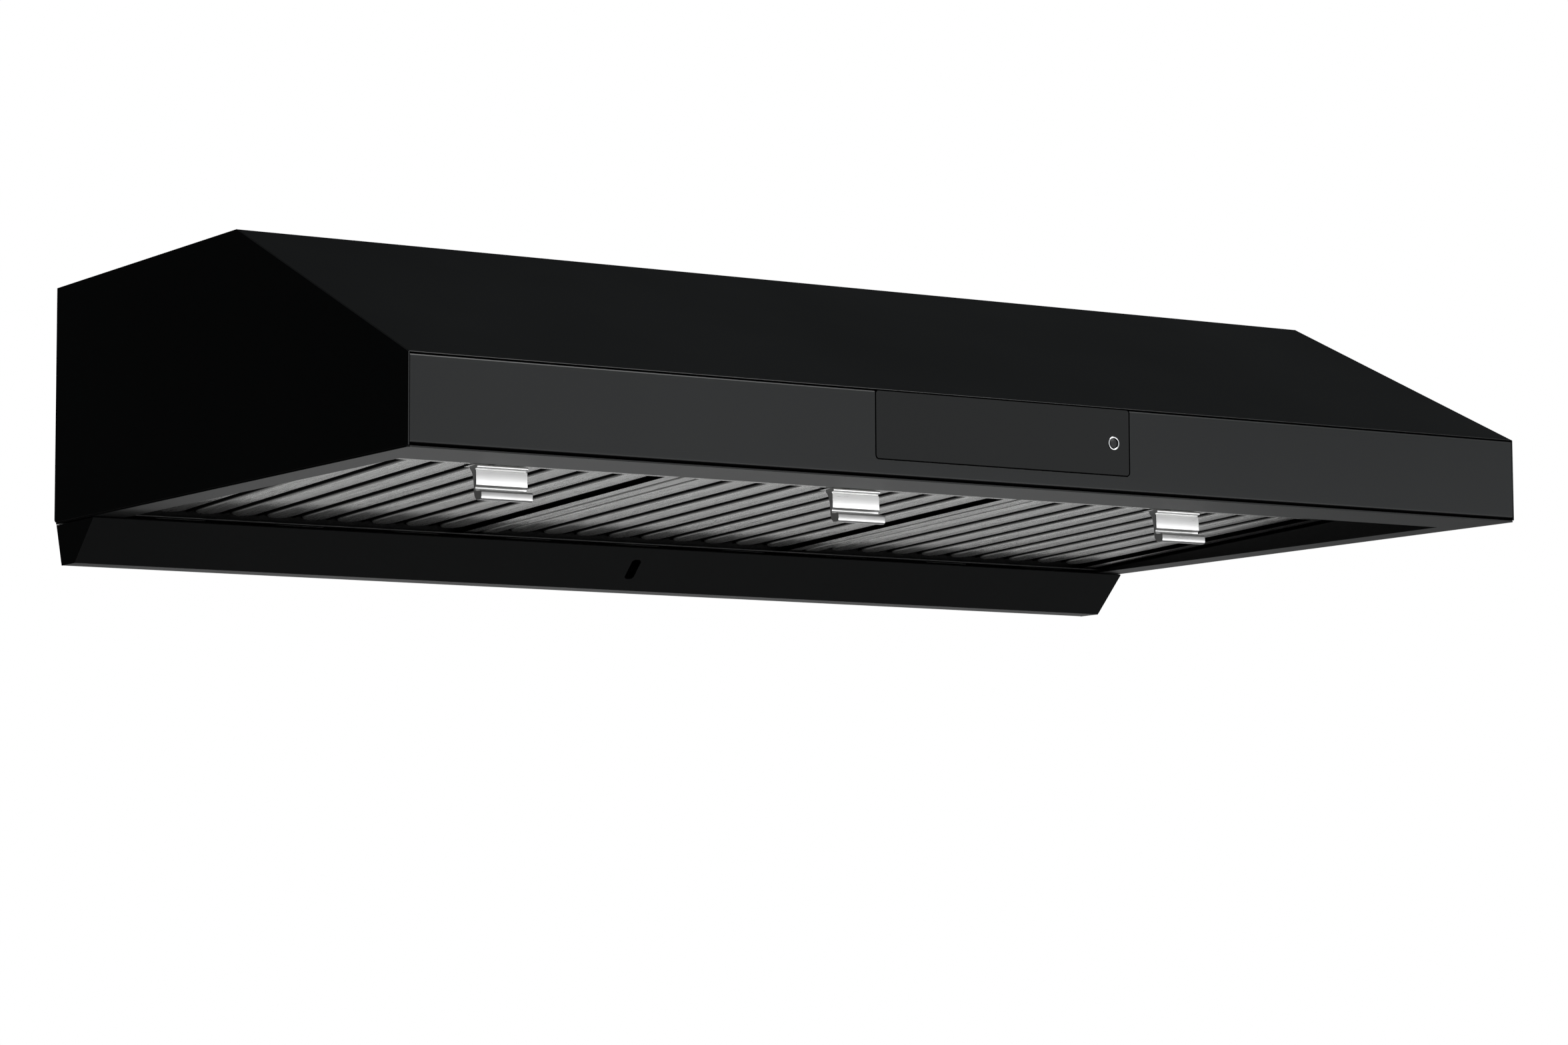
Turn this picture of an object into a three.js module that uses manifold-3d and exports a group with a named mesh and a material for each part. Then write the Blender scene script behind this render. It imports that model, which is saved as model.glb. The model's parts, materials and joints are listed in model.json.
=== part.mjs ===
// Under cabinet range hood, 36 inch class, with three baffle filters, a grease tray and a twin blower.
// Millimetres, +Z up, +X to the right, the fascia faces -Y.
// The exported group has its origin in the middle of the top face that is screwed to the cabinet.
// Inside the group the pieces are drawn in the body's own frame: x from the middle,
// y from the fascia's face towards the wall, z from the underside of the rim.

import * as THREE from 'three';
import { mergeVertices } from 'three/addons/utils/BufferGeometryUtils.js';
import Module from 'manifold-3d';

const wasm = await Module();
wasm.setup();

// ---------- driving dimensions ----------

// body
const bodyWidth = 910;
const bodyDepth = 547;
const bodyHeight = 173;
const topDepth = 299; // flat top, from the slope's upper edge to the wall
const fasciaHeight = 60; // underside to the foot of the slope
const panelSheet = 1; // outer sheet steel
const rearCornerCut = 3; // clipped lower rear corner of each side
const bendRadius = 1.5; // outside radius of a fold

// clearances
const fitGap = 0.4; // between sheets that lie against each other
const seamGap = 0.9; // open seam between fascia and slope
const sideSeam = 0.3; // open seam beside the side panels
const underGap = 1.8; // shadow gap between fascia and rim
const rimSeam = 0.3; // between the rim and the side panels that stand on it
const cutOver = 1; // reach of a cutting tool past the sheet it cuts

// flanges
const sideFlange = 12; // folded edge of a side panel that carries the other panels
const fasciaReturn = 12;
const slopeReturn = 14;

// underside
const rimWidth = 24; // side rims
const rimDepth = 57; // front rim
const rimCorner = 1.5; // outer front corners
const recessHeight = 19; // lamp panel above the rim's underside
const lampPanelDepth = 106;
const latchFlange = 15; // upright edge of the lamp panel that the filters latch into

// filters
const filterCount = 3;
const filterGap = 1; // between neighbouring filters
const filterSideClearance = 1; // outer filter to the side rim's upright edge
const filterThickness = 11;
const filterSheet = 0.8;
const filterFrontHeight = 17.5; // filter's lower front edge above the rim
const filterRearHeight = 3.9; // filter's lower face at its rear pivot
const filterFrontClearance = 1.5;
const filterTail = 16; // part of the filter behind its pivot
const filterFrontBand = 22;
const filterSideBand = 11.5;
const filterRearBand = 22;
const filterCorner = 2.5; // rounding of the frame's lower long edges
const restGap = 2; // filter above the side rests
const filterLipStep = 3; // upper flange of the frame narrower than its lower face
const weepHoleShares = [-0.6, -0.2, 0.2, 0.6]; // places across half a filter
const weepHoleLength = 12;
const weepHoleWidth = 3;
const weepHoleSetback = 5;

// baffles
const gapsPerFilter = 10;
const baffleWidth = 20.8;
const baffleDepth = 5;
const baffleCorner = 2.4;
const baffleLap = 3; // baffle's end on the frame's band
const tieWidth = 2.4; // strip that the ends of a row of baffles are welded to

// latch and handle
const handleWidth = 40;
const handleSetback = 18.5; // filter's front edge to the handle's face
const latchTravel = 5;
const latchLap = 3; // tongue's reach through the keeper slot
const latchBarWidth = 30;
const latchBarSheet = 1.5;
const latchRise = 6; // tongue's height in the filter
const latchStep = 1.6; // the bar's lower part above the frame's underside
const latchLugWidth = 10;
const latchLugLength = 5;
const latchTabLength = 13; // the band's widening under the handle
const latchLugSetback = 2; // handle's face to the lug
const keeperSide = 1; // clearances of the tongue in its keeper
const keeperBelow = 1;
const keeperAbove = 1.2;

// section of the extruded pull: y behind its flat face, z from its top
const pullFootDepth = 8.5;
const pullFootEdge = 2;
const pullBeadRadius = 1.3;
const pullBeadSet = 0.4;
const pullNeckDepth = 0.9;
const pullNeckHeight = 0.9;
const pullFaceTop = 3.7;
const pullFaceBottom = 13.8;
const pullBack = [3.6, -13];
const pullBends = {
  hollow: [-0.4, -17, -6.2, -18.2],
  lipFront: [-7.6, -20.2, -6.4, -22.6],
  lipFoot: [-4.4, -25.2, -0.6, -24.4],
  lipRear: [3.4, -22.6, 3.4, -17.2],
};
const pullWeb = [4.2, -4.5];

// rear rail
const railReach = 71; // wall to the rail's front edge
const railLedge = 28;
const railBayHeight = 34;
const drainSlotLength = 40;
const drainSlotWidth = 3.5;
const drainSlotCount = 9;
const drainSlotSetback = 8;

// grease tray
const trayDepth = 69; // wall to the tray's lip
const trayRearGap = 4; // wall to the tray's rear edge
const trayDrop = 30;
const trayDropGap = 1; // tray below the body
const trayFloorFront = 37; // wall to the front of the floor
const trayFloorRear = 14; // wall to the rear of the floor
const traySheet = 1;
const trayHem = 5;
const hemFold = 2.2; // thickness of the folded lip
const trayUpstand = 15;
const trayUpstandGap = 1.6; // upstand to the side rims' upright edges
const traySlotLength = 20;
const traySlotWidth = 8;
const traySlotCorner = 3;
const trayClipCount = 3;
const trayClipWidth = 24;
const clipSheet = 0.6;
const clipBend = 0.8;
const clipFoot = 2; // finger's end above the underside
const clipHeadroom = 4; // above the tray's upstand
const clipStripHeight = 10;

// controls
const glassWidth = 211;
const glassBottom = 13;
const glassCorner = 3;
const glassThickness = 3.2;
const glassGap = 0.9;
const buttonX = 91.5;
const buttonZ = 35.6;
const buttonRingDiameter = 9.4;
const buttonRingWidth = 0.75;
const buttonRingProud = 0.5;
const buttonRingChamfer = 0.2;
const buttonTravel = 1;
const buttonHeight = 4.2;
const buttonCrown = 0.6;
const boardThickness = 1.6;
const boardMargin = 5;
const controlDepth = 16;
const controlWall = 1.6;

// lamps
const lampSpacing = 454;
const lampRingDiameter = 66;
const lampRingLip = 1.4;
const lampBodyDiameter = 54;
const lampBodyHeight = 20;
const lampLensDiameter = 47;
const lampLensThickness = 2.4;
const lampLensShoulder = 0.7; // share of the radius where the lens starts to curve back
const lampGroove = [0.4, 0.6]; // the body's groove, as shares of its height
const lampGrooveDepth = 4;
const lampCapChamfer = 2;

// blower
const wheelDiameter = 184;
const wheelHeight = 86;
const wheelBladeDepth = 15;
const wheelBladeCount = 24;
const wheelSheet = 1;
const wheelPlate = 1.5; // back plate and ring
const wheelRingLip = 5;
const wheelHeadroom = 4; // back plate to the scroll's top plate
const bladeLean = 0.1; // turn of a blade's outer edge, in radians
const bladeLeanMiddle = 0.03;
const dishMargin = 2; // blades to the dished part of the back plate
const dishClearance = 6; // motor to the dish, sideways
const dishGap = 4; // motor to the dish's floor
const hubRise = 2;
const hubLength = 16;
const scrollSheet = 1.2;
const scrollHeight = 104;
const scrollHeadroom = 8; // top panel's inner face to the scroll's top plate
const tongueRadius = 102;
const outletRadius = 150;
const blowerSpacing = 480; // between the two wheels' axes
const outletRear = 18; // scroll's rear wall to the body's rear face
const inletDiameter = 150;
const inletLip = 9;
const inletFlange = 14;
const inletThroat = 4; // taken off the radius by the curved lip
const motorDiameter = 84;
const motorHeight = 48;
const motorShoulder = 6; // turned-in edge of the lower end
const motorBoss = 14;
const motorBossHeight = 2;
const motorCollar = 8; // height of the upper rim that the body steps in from
const motorCollarStep = 4;
const motorBore = 18;
const shaftDiameter = 8;
const shaftSeat = 17; // length inside the motor
const shaftReach = 22; // length below the motor
const hubDiameter = 22;

// duct
const ductWidth = 254;
const ductDepth = 83;
const ductRise = 25; // above the top face
const ductSheet = 1;
const ductFlange = 12;
const ductFlangeRear = 2; // flange to the rear panel
const flapSheet = 1;
const flapBarrel = 6;
const flapPin = 3;
const flapClearance = 0.5;
const flapStop = 4; // ledge that the closed flap lies on
const flapPinProud = 1.5;

// wiring and fixing
const junctionWidth = 56;
const junctionDepth = 50;
const junctionHeight = 46;
const junctionSheet = 1;
const wiringGap = 6; // side panel's flange to the box beside it
const entryDiameter = 22;
const moduleWidth = 56;
const moduleDepth = 50;
const moduleHeight = 34;
const moduleLid = 5;
const moduleGroove = 0.8;
const keyholeHead = 14;
const keyholeSlot = 6;
const keyholeLength = 12;
const keyholeSpacingX = 640;
const keyholeSpacingY = 200;

// ---------- derived places ----------

const halfWidth = bodyWidth / 2;
const innerHalf = halfWidth - panelSheet - sideSeam; // half width of what lies between the side panels
const slopeTopY = bodyDepth - topDepth;
const innerTop = bodyHeight - panelSheet;
const innerRear = bodyDepth - panelSheet;
const fasciaBottom = panelSheet + underGap;
const fasciaTop = fasciaHeight - seamGap;
const rimInner = halfWidth - rimWidth; // half width between the side rims

const latchFlangeY = rimDepth + fitGap + lampPanelDepth; // rear face of the latch flange
const filterFrontY = latchFlangeY + filterFrontClearance;
const pivotY = bodyDepth - railReach - fitGap;
const pivotZ = filterRearHeight;
const filterTilt = Math.atan2(filterFrontHeight - pivotZ, pivotY - filterFrontY);
const filterReach = Math.hypot(filterFrontHeight - pivotZ, pivotY - filterFrontY);
const filterPitch = (2 * rimInner - 2 * filterSideClearance + filterGap) / filterCount;
const filterHalf = (filterPitch - filterGap) / 2;
const baffleOpening = 2 * (filterHalf - filterSideBand);
const bafflePitch = (baffleOpening + baffleWidth) / gapsPerFilter;

const wheelRadius = wheelDiameter / 2;
const scrollTop = innerTop - scrollHeadroom;
const scrollBottom = scrollTop - scrollHeight;
const blowerY = bodyDepth - outletRear - outletRadius;
const ductCentreY = bodyDepth - outletRear - (outletRadius - tongueRadius * Math.sin(Math.PI / 6)) / 2;
const lampY = rimDepth + fitGap + lampPanelDepth / 2;

const wiringReach = halfWidth - panelSheet - sideFlange - wiringGap;
const junctionX = wiringReach - junctionWidth / 2;
const moduleX = moduleWidth / 2 - wiringReach;

// ---------- materials ----------

const blackCoat = () => new THREE.MeshStandardMaterial({ color: 0x1b1c1d, roughness: 0.45, metalness: 0.3 });
const blackGlass = () => new THREE.MeshStandardMaterial({ color: 0x0d0d0e, roughness: 0.12, metalness: 0 });
const stainless = () => new THREE.MeshStandardMaterial({ color: 0xb4b4b2, roughness: 0.32, metalness: 1 });
const aluminium = () => new THREE.MeshStandardMaterial({ color: 0xd8d9da, roughness: 0.28, metalness: 1 });
const galvanised = () => new THREE.MeshStandardMaterial({ color: 0x8f9396, roughness: 0.5, metalness: 0.9 });
const blackPlastic = () => new THREE.MeshStandardMaterial({ color: 0x202122, roughness: 0.6, metalness: 0 });
const boardGreen = () => new THREE.MeshStandardMaterial({ color: 0x1f5a35, roughness: 0.55, metalness: 0 });
const frostedLens = () => new THREE.MeshStandardMaterial({ color: 0xf0eee6, roughness: 0.5, metalness: 0 });
const chrome = () => new THREE.MeshStandardMaterial({ color: 0xc9cbcd, roughness: 0.15, metalness: 1 });
const zincSteel = () => new THREE.MeshStandardMaterial({ color: 0xa7a9ab, roughness: 0.4, metalness: 1 });

// ---------- solids ----------

function toSolid(geometry) {
  const bare = geometry.clone();
  bare.deleteAttribute('normal');
  bare.deleteAttribute('uv');
  const merged = mergeVertices(bare, 1e-4);
  const vertProperties = new Float32Array(merged.attributes.position.array);
  const triVerts = new Uint32Array(merged.index.array);
  return new wasm.Manifold(new wasm.Mesh({ numProp: 3, vertProperties, triVerts }));
}

function toGeometry(solid) {
  const mesh = solid.getMesh();
  const geometry = new THREE.BufferGeometry();
  geometry.setAttribute('position', new THREE.BufferAttribute(mesh.vertProperties, 3));
  geometry.setIndex(new THREE.BufferAttribute(mesh.triVerts, 1));
  geometry.computeVertexNormals();
  return geometry;
}

function join(...geometries) {
  return toGeometry(geometries.map(toSolid).reduce((all, next) => all.add(next)));
}

function cut(base, ...tools) {
  return toGeometry(tools.map(toSolid).reduce((left, tool) => left.subtract(tool), toSolid(base)));
}

function block([x0, x1], [y0, y1], [z0, z1]) {
  const geometry = new THREE.BoxGeometry(Math.abs(x1 - x0), Math.abs(y1 - y0), Math.abs(z1 - z0));
  return geometry.translate((x0 + x1) / 2, (y0 + y1) / 2, (z0 + z1) / 2);
}

function extrude(shape, depth, curveSegments = 6) {
  return new THREE.ExtrudeGeometry(shape, { depth, steps: 1, bevelEnabled: false, curveSegments });
}

const axisX = new THREE.Vector3(1, 0, 0);
const axisY = new THREE.Vector3(0, 1, 0);
const axisZ = new THREE.Vector3(0, 0, 1);

// a (y, z) section carried from x0 to x1
function alongX(shape, x0, x1) {
  const geometry = extrude(shape, Math.abs(x1 - x0));
  geometry.applyMatrix4(new THREE.Matrix4().makeBasis(axisY, axisZ, axisX));
  return geometry.translate(Math.min(x0, x1), 0, 0);
}

// an (x, z) section carried from y0 to y1
function alongY(shape, y0, y1) {
  const geometry = extrude(shape, Math.abs(y1 - y0));
  geometry.applyMatrix4(new THREE.Matrix4().makeBasis(axisX, axisZ, axisY.clone().negate()));
  return geometry.translate(0, Math.max(y0, y1), 0);
}

// an (x, y) outline carried from z0 to z1
function alongZ(shape, z0, z1) {
  return extrude(shape, Math.abs(z1 - z0)).translate(0, 0, Math.min(z0, z1));
}

// a closed (r, z) profile turned about the vertical axis through (x, y)
function turned(profile, x, y, segments) {
  const points = profile.map(([r, z]) => new THREE.Vector2(r, z));
  if (THREE.ShapeUtils.area(points) < 0) {
    points.reverse();
  }
  const geometry = new THREE.LatheGeometry(points, segments);
  return geometry.rotateX(Math.PI / 2).translate(x, y, 0);
}

function disc(radius, x, y, [z0, z1], segments = 24) {
  return new THREE.CylinderGeometry(radius, radius, z1 - z0, segments)
    .rotateX(Math.PI / 2)
    .translate(x, y, (z0 + z1) / 2);
}

// a round bar from x0 to x1
function barAlongX(radius, [x0, x1], y, z, segments = 16) {
  return new THREE.CylinderGeometry(radius, radius, x1 - x0, segments)
    .rotateZ(Math.PI / 2)
    .translate((x0 + x1) / 2, y, z);
}

// a round bar from y0 to y1
function barAlongY(radius, x, [y0, y1], z, segments = 24) {
  return new THREE.CylinderGeometry(radius, radius, y1 - y0, segments).translate(x, (y0 + y1) / 2, z);
}

function polygon(points) {
  return new THREE.Shape(points.map(([a, b]) => new THREE.Vector2(a, b)));
}

function roundedRectangle([a0, a1], [b0, b1], radius) {
  const shape = new THREE.Shape();
  shape.moveTo(a0 + radius, b0);
  shape.absarc(a1 - radius, b0 + radius, radius, -Math.PI / 2, 0);
  shape.absarc(a1 - radius, b1 - radius, radius, 0, Math.PI / 2);
  shape.absarc(a0 + radius, b1 - radius, radius, Math.PI / 2, Math.PI);
  shape.absarc(a0 + radius, b0 + radius, radius, Math.PI, 1.5 * Math.PI);
  return shape;
}

// ---------- folded sheet ----------

const bendSteps = 2;
const leastRadius = 0.05; // a corner below this stays sharp
const pointLoss = 1; // most that rounding may take off the point of a sharp fold

// the path with each corner turned into an arc of its own radius
function roundCorners(path, radii) {
  const rounded = [path[0]];
  for (let i = 1; i < path.length - 1; i += 1) {
    const before = path[i - 1].clone().sub(path[i]).normalize();
    const after = path[i + 1].clone().sub(path[i]).normalize();
    const half = Math.acos(before.dot(after)) / 2;
    if (radii[i] < leastRadius) {
      rounded.push(path[i]);
    } else {
      const start = path[i].clone().addScaledVector(before, radii[i] / Math.tan(half));
      const bisector = before.clone().add(after).normalize();
      const centre = path[i].clone().addScaledVector(bisector, radii[i] / Math.sin(half));
      const sweep = Math.sign(after.cross(before)) * (Math.PI - 2 * half);
      for (let step = 0; step <= bendSteps; step += 1) {
        rounded.push(start.clone().rotateAround(centre, (sweep * step) / bendSteps));
      }
    }
  }
  rounded.push(path[path.length - 1]);
  return rounded;
}

// the path moved to its left by a distance, with mitred corners
function offsetPath(path, distance) {
  const last = path.length - 1;
  return path.map((point, i) => {
    const ahead = path[Math.min(i + 1, last)].clone().sub(path[Math.min(i, last - 1)]).normalize();
    const behind = path[Math.max(i, 1)].clone().sub(path[Math.max(i - 1, 0)]).normalize();
    const mean = ahead.clone().add(behind).normalize();
    const left = new THREE.Vector2(-mean.y, mean.x);
    return point.clone().addScaledVector(left, distance / mean.dot(ahead));
  });
}

// section of a folded sheet: one face follows the points and the thickness lies to their left
function sheetSection(points, thickness, radius = bendRadius) {
  const face = points.map(([a, b]) => new THREE.Vector2(a, b));
  const back = offsetPath(face, thickness);
  const faceRadii = [];
  const backRadii = [];
  face.forEach((point, i) => {
    const before = (face[i - 1] ?? point).clone().sub(point).normalize();
    const after = (face[i + 1] ?? point).clone().sub(point).normalize();
    const half = Math.acos(before.dot(after)) / 2;
    const outside = Math.min(radius, pointLoss / (1 / Math.sin(half) - 1));
    const inside = Math.max(outside - thickness, 0);
    const turnsLeft = after.cross(before) > 0;
    faceRadii.push(turnsLeft ? outside : inside);
    backRadii.push(turnsLeft ? inside : outside);
  });
  return new THREE.Shape([...roundCorners(face, faceRadii), ...roundCorners(back, backRadii).reverse()]);
}

// a convex outline, listed clockwise, with every side moved inwards
function insetOutline(points, distance) {
  const count = points.length;
  const sides = points.map((point, i) => {
    const start = new THREE.Vector2(...point);
    const run = new THREE.Vector2(...points[(i + 1) % count]).sub(start).normalize();
    const inward = new THREE.Vector2(run.y, -run.x);
    return { start: start.addScaledVector(inward, distance), run };
  });
  return sides.map((side, i) => {
    const last = sides[(i + count - 1) % count];
    const across = last.run.cross(side.run);
    const between = side.start.clone().sub(last.start);
    const corner = last.start.clone().addScaledVector(last.run, between.cross(side.run) / across);
    return [corner.x, corner.y];
  });
}

// ---------- body shell ----------

const sideBottom = panelSheet + rimSeam;

const bodyOutline = [
  [0, sideBottom],
  [0, fasciaHeight],
  [slopeTopY, bodyHeight],
  [bodyDepth, bodyHeight],
  [bodyDepth, rearCornerCut],
  [bodyDepth - rearCornerCut + sideBottom, sideBottom],
];

// distances inward from one side's outer face, as x places
function fromSide(side, near, far) {
  return [side * (halfWidth - near), side * (halfWidth - far)].sort((a, b) => a - b);
}

function filterUndersideAt(y) {
  return pivotZ + (pivotY - y) * Math.tan(filterTilt);
}

// upright inner edge of a side rim, whose top follows the filters
function sideRest(side) {
  const front = rimDepth - panelSheet / 2;
  const rear = pivotY - railLedge / 2;
  const step = latchFlangeY + fitGap;
  const rest = polygon([
    [front, panelSheet / 2],
    [rear, panelSheet / 2],
    [rear, filterUndersideAt(rear) - restGap],
    [step, filterUndersideAt(step) - restGap],
    [step, recessHeight + latchFlange],
    [front, recessHeight + latchFlange],
  ]);
  const [x0, x1] = fromSide(side, rimWidth - panelSheet, rimWidth);
  return alongX(rest, x0, x1);
}

function undersideRim() {
  const rearY = bodyDepth - rearCornerCut;
  const plate = alongZ(polygon([
    [-halfWidth, rearY],
    [-halfWidth, rimCorner],
    [-halfWidth + rimCorner, 0],
    [halfWidth - rimCorner, 0],
    [halfWidth, rimCorner],
    [halfWidth, rearY],
    [rimInner, rearY],
    [rimInner, rimDepth],
    [-rimInner, rimDepth],
    [-rimInner, rearY],
  ]), 0, panelSheet);
  const frontRest = block(
    [-rimInner - panelSheet / 2, rimInner + panelSheet / 2],
    [rimDepth - panelSheet, rimDepth],
    [panelSheet / 2, recessHeight + latchFlange],
  );
  return join(plate, frontRest, sideRest(-1), sideRest(1));
}

function sidePanel(side) {
  const plate = alongX(polygon(bodyOutline), ...fromSide(side, 0, panelSheet));
  const flangeSpan = fromSide(side, panelSheet / 2, panelSheet + sideFlange);
  const flangeOuter = alongX(polygon(insetOutline(bodyOutline, panelSheet + fitGap)), ...flangeSpan);
  const cutSpan = fromSide(side, -cutOver, panelSheet + sideFlange + cutOver);
  const flangeInner = alongX(polygon(insetOutline(bodyOutline, 2 * panelSheet + fitGap)), ...cutSpan);
  const noseNotch = block(
    cutSpan,
    [-cutOver, Math.max(slopeReturn, fasciaReturn) + fitGap],
    [fasciaTop - panelSheet - fitGap, bodyHeight],
  );
  const toeNotch = block(
    cutSpan,
    [-cutOver, fasciaReturn + fitGap],
    [-cutOver, fasciaBottom + panelSheet + fitGap],
  );
  return join(plate, cut(flangeOuter, flangeInner, noseNotch, toeNotch));
}

const throughTop = [innerTop - cutOver, bodyHeight + cutOver];

function keyhole(x, y) {
  const head = disc(keyholeHead / 2, x, y, throughTop, 16);
  const slot = block(
    [x - keyholeSlot / 2, x + keyholeSlot / 2],
    [y, y + keyholeLength + keyholeHead / 2],
    throughTop,
  );
  return join(head, slot);
}

function wrapPanel() {
  const section = sheetSection([
    [bodyDepth - panelSheet - fitGap, bodyHeight],
    [slopeTopY, bodyHeight],
    [0, fasciaHeight],
    [slopeReturn, fasciaHeight],
  ], panelSheet);
  const ductHole = block(
    [-ductWidth / 2 - fitGap, ductWidth / 2 + fitGap],
    [ductCentreY - ductDepth / 2 - fitGap, ductCentreY + ductDepth / 2 + fitGap],
    throughTop,
  );
  const wiringHole = disc(entryDiameter / 2, junctionX, junctionY(), throughTop);
  const middleY = slopeTopY + topDepth / 2;
  const keyholes = [-1, 1].flatMap((sx) => [-1, 1].map((sy) => keyhole(
    sx * keyholeSpacingX / 2,
    middleY + sy * keyholeSpacingY / 2,
  )));
  return cut(alongX(section, -innerHalf, innerHalf), ductHole, wiringHole, ...keyholes);
}

function rearPanel() {
  const plate = block([-innerHalf, innerHalf], [innerRear, bodyDepth], [0, bodyHeight]);
  const throughRear = [innerRear - cutOver, bodyDepth + cutOver];
  const wiringHole = barAlongY(entryDiameter / 2, junctionX, throughRear, junctionZ());
  return cut(plate, wiringHole);
}

function fasciaPanel() {
  const section = sheetSection([
    [fasciaReturn, fasciaTop],
    [0, fasciaTop],
    [0, fasciaBottom],
    [fasciaReturn, fasciaBottom],
  ], panelSheet);
  const reach = fasciaReturn + cutOver;
  const notch = alongY(
    roundedRectangle([-glassWidth / 2, glassWidth / 2], [glassBottom, bodyHeight], glassCorner),
    -cutOver,
    reach,
  );
  return cut(alongX(section, -innerHalf, innerHalf), notch);
}

// ---------- lamp panel and lamps ----------

function filterCentres() {
  const middle = (filterCount - 1) / 2;
  return Array.from({ length: filterCount }, (_, i) => (i - middle) * filterPitch);
}

function tonguePlace() {
  // the tongue's underside where it crosses the latch flange
  return filterUndersideAt(filterFrontY) + latchRise;
}

function lampPanel() {
  const half = rimInner - fitGap;
  const frontY = rimDepth + fitGap;
  const section = sheetSection([
    [frontY, recessHeight + latchFlange],
    [frontY, recessHeight],
    [latchFlangeY, recessHeight],
    [latchFlangeY, recessHeight + latchFlange],
  ], panelSheet);
  const lampHoles = [-1, 1].map((side) => disc(
    lampBodyDiameter / 2 + fitGap,
    side * lampSpacing / 2,
    lampY,
    [recessHeight - cutOver, recessHeight + panelSheet + cutOver],
    28,
  ));
  const keepers = filterCentres().map((x) => block(
    [x - latchBarWidth / 2 - keeperSide, x + latchBarWidth / 2 + keeperSide],
    [latchFlangeY - panelSheet - cutOver, latchFlangeY + cutOver],
    [tonguePlace() - keeperBelow, tonguePlace() + latchBarSheet + keeperAbove],
  ));
  return cut(alongX(section, -half, half), ...lampHoles, ...keepers);
}

const lampSides = 22;

function lampRing(side) {
  const outer = lampRingDiameter / 2;
  const inner = lampLensDiameter / 2 + fitGap;
  const face = recessHeight - fitGap;
  return turned([
    [inner, face],
    [inner, face - lampRingLip],
    [outer - lampRingLip, face - lampRingLip],
    [outer, face - lampRingLip / 3],
    [outer, face],
    [inner, face],
  ], side * lampSpacing / 2, lampY, lampSides);
}

function lampLens(side) {
  const radius = lampLensDiameter / 2;
  const face = recessHeight - fitGap;
  return turned([
    [0, face],
    [0, face - lampLensThickness / 2],
    [radius * lampLensShoulder, face - lampLensThickness / 3],
    [radius, face],
    [0, face],
  ], side * lampSpacing / 2, lampY, lampSides);
}

function lampBody(side) {
  const outer = lampBodyDiameter / 2;
  const foot = recessHeight;
  const top = foot + lampBodyHeight;
  const [grooveFoot, grooveTop] = lampGroove.map((share) => foot + lampBodyHeight * share);
  return turned([
    [0, top],
    [0, foot],
    [outer, foot],
    [outer, grooveFoot],
    [outer - lampGrooveDepth, grooveFoot],
    [outer - lampGrooveDepth, grooveTop],
    [outer, grooveTop],
    [outer, top - lampCapChamfer],
    [outer - lampCapChamfer, top],
    [0, top],
  ], side * lampSpacing / 2, lampY, lampSides);
}

// ---------- filters, drawn from their pivot: -y to the front, z up from the underside ----------

const frontEdge = -filterReach;
const handleFace = frontEdge + handleSetback;

// the frame's outline across a filter, with everything moved inwards by a distance
function frameSection(inset) {
  const half = filterHalf - inset;
  const radius = filterCorner - inset;
  const shape = new THREE.Shape();
  shape.moveTo(half, filterThickness - inset);
  shape.lineTo(-half, filterThickness - inset);
  shape.absarc(-half + radius, inset + radius, radius, Math.PI, 1.5 * Math.PI);
  shape.absarc(half - radius, inset + radius, radius, 1.5 * Math.PI, 2 * Math.PI);
  return shape;
}

function filterFrame() {
  const t = filterSheet;
  const lip = filterSideBand - filterLipStep;
  const frontBandEnd = frontEdge + filterFrontBand;
  const rearBandStart = filterTail - filterRearBand;
  const shell = alongY(frameSection(0), frontEdge, filterTail);
  const channel = alongY(frameSection(t), frontEdge + t, filterTail - t);
  const mouth = block(
    [-filterHalf + filterSideBand, filterHalf - filterSideBand],
    [frontBandEnd, rearBandStart],
    [-cutOver, filterThickness / 2],
  );
  const back = block(
    [-filterHalf + lip, filterHalf - lip],
    [frontEdge + lip, filterTail - lip],
    [filterThickness / 2, filterThickness + cutOver],
  );
  const tongueWindow = block(
    [-latchBarWidth / 2 - fitGap, latchBarWidth / 2 + fitGap],
    [frontEdge - cutOver, frontEdge + t + cutOver],
    [latchRise - fitGap, latchRise + latchBarSheet + fitGap],
  );
  const tab = block(
    [-handleWidth / 2, handleWidth / 2],
    [frontBandEnd - t, frontBandEnd + latchTabLength],
    [0, t],
  );
  const lugSlot = block(
    [-latchLugWidth / 2 - fitGap, latchLugWidth / 2 + fitGap],
    [lugStart() - fitGap, lugStart() + latchLugLength + latchTravel + fitGap],
    [-cutOver, t + cutOver],
  );
  const weepStart = rearBandStart + weepHoleSetback;
  const weepHoles = weepHoleShares.map((share) => block(
    [share * filterHalf - weepHoleLength / 2, share * filterHalf + weepHoleLength / 2],
    [weepStart, weepStart + weepHoleWidth],
    [-cutOver, t + cutOver],
  ));
  return cut(join(cut(shell, channel, mouth, back), tab), tongueWindow, lugSlot, ...weepHoles);
}

function baffleSection(x, z, up) {
  const half = baffleWidth / 2;
  const depth = up * baffleDepth;
  const points = [
    [x - up * half, z + depth],
    [x - up * half, z],
    [x + up * half, z],
    [x + up * half, z + depth],
  ];
  return sheetSection(points, filterSheet, baffleCorner);
}

function baffleStart(x) {
  // a baffle behind the handle stops short, where the band is widened for the latch
  const behindHandle = Math.abs(x) < (handleWidth - baffleWidth) / 2;
  return frontEdge + filterFrontBand - baffleLap + (behindHandle ? latchTabLength : 0);
}

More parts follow.
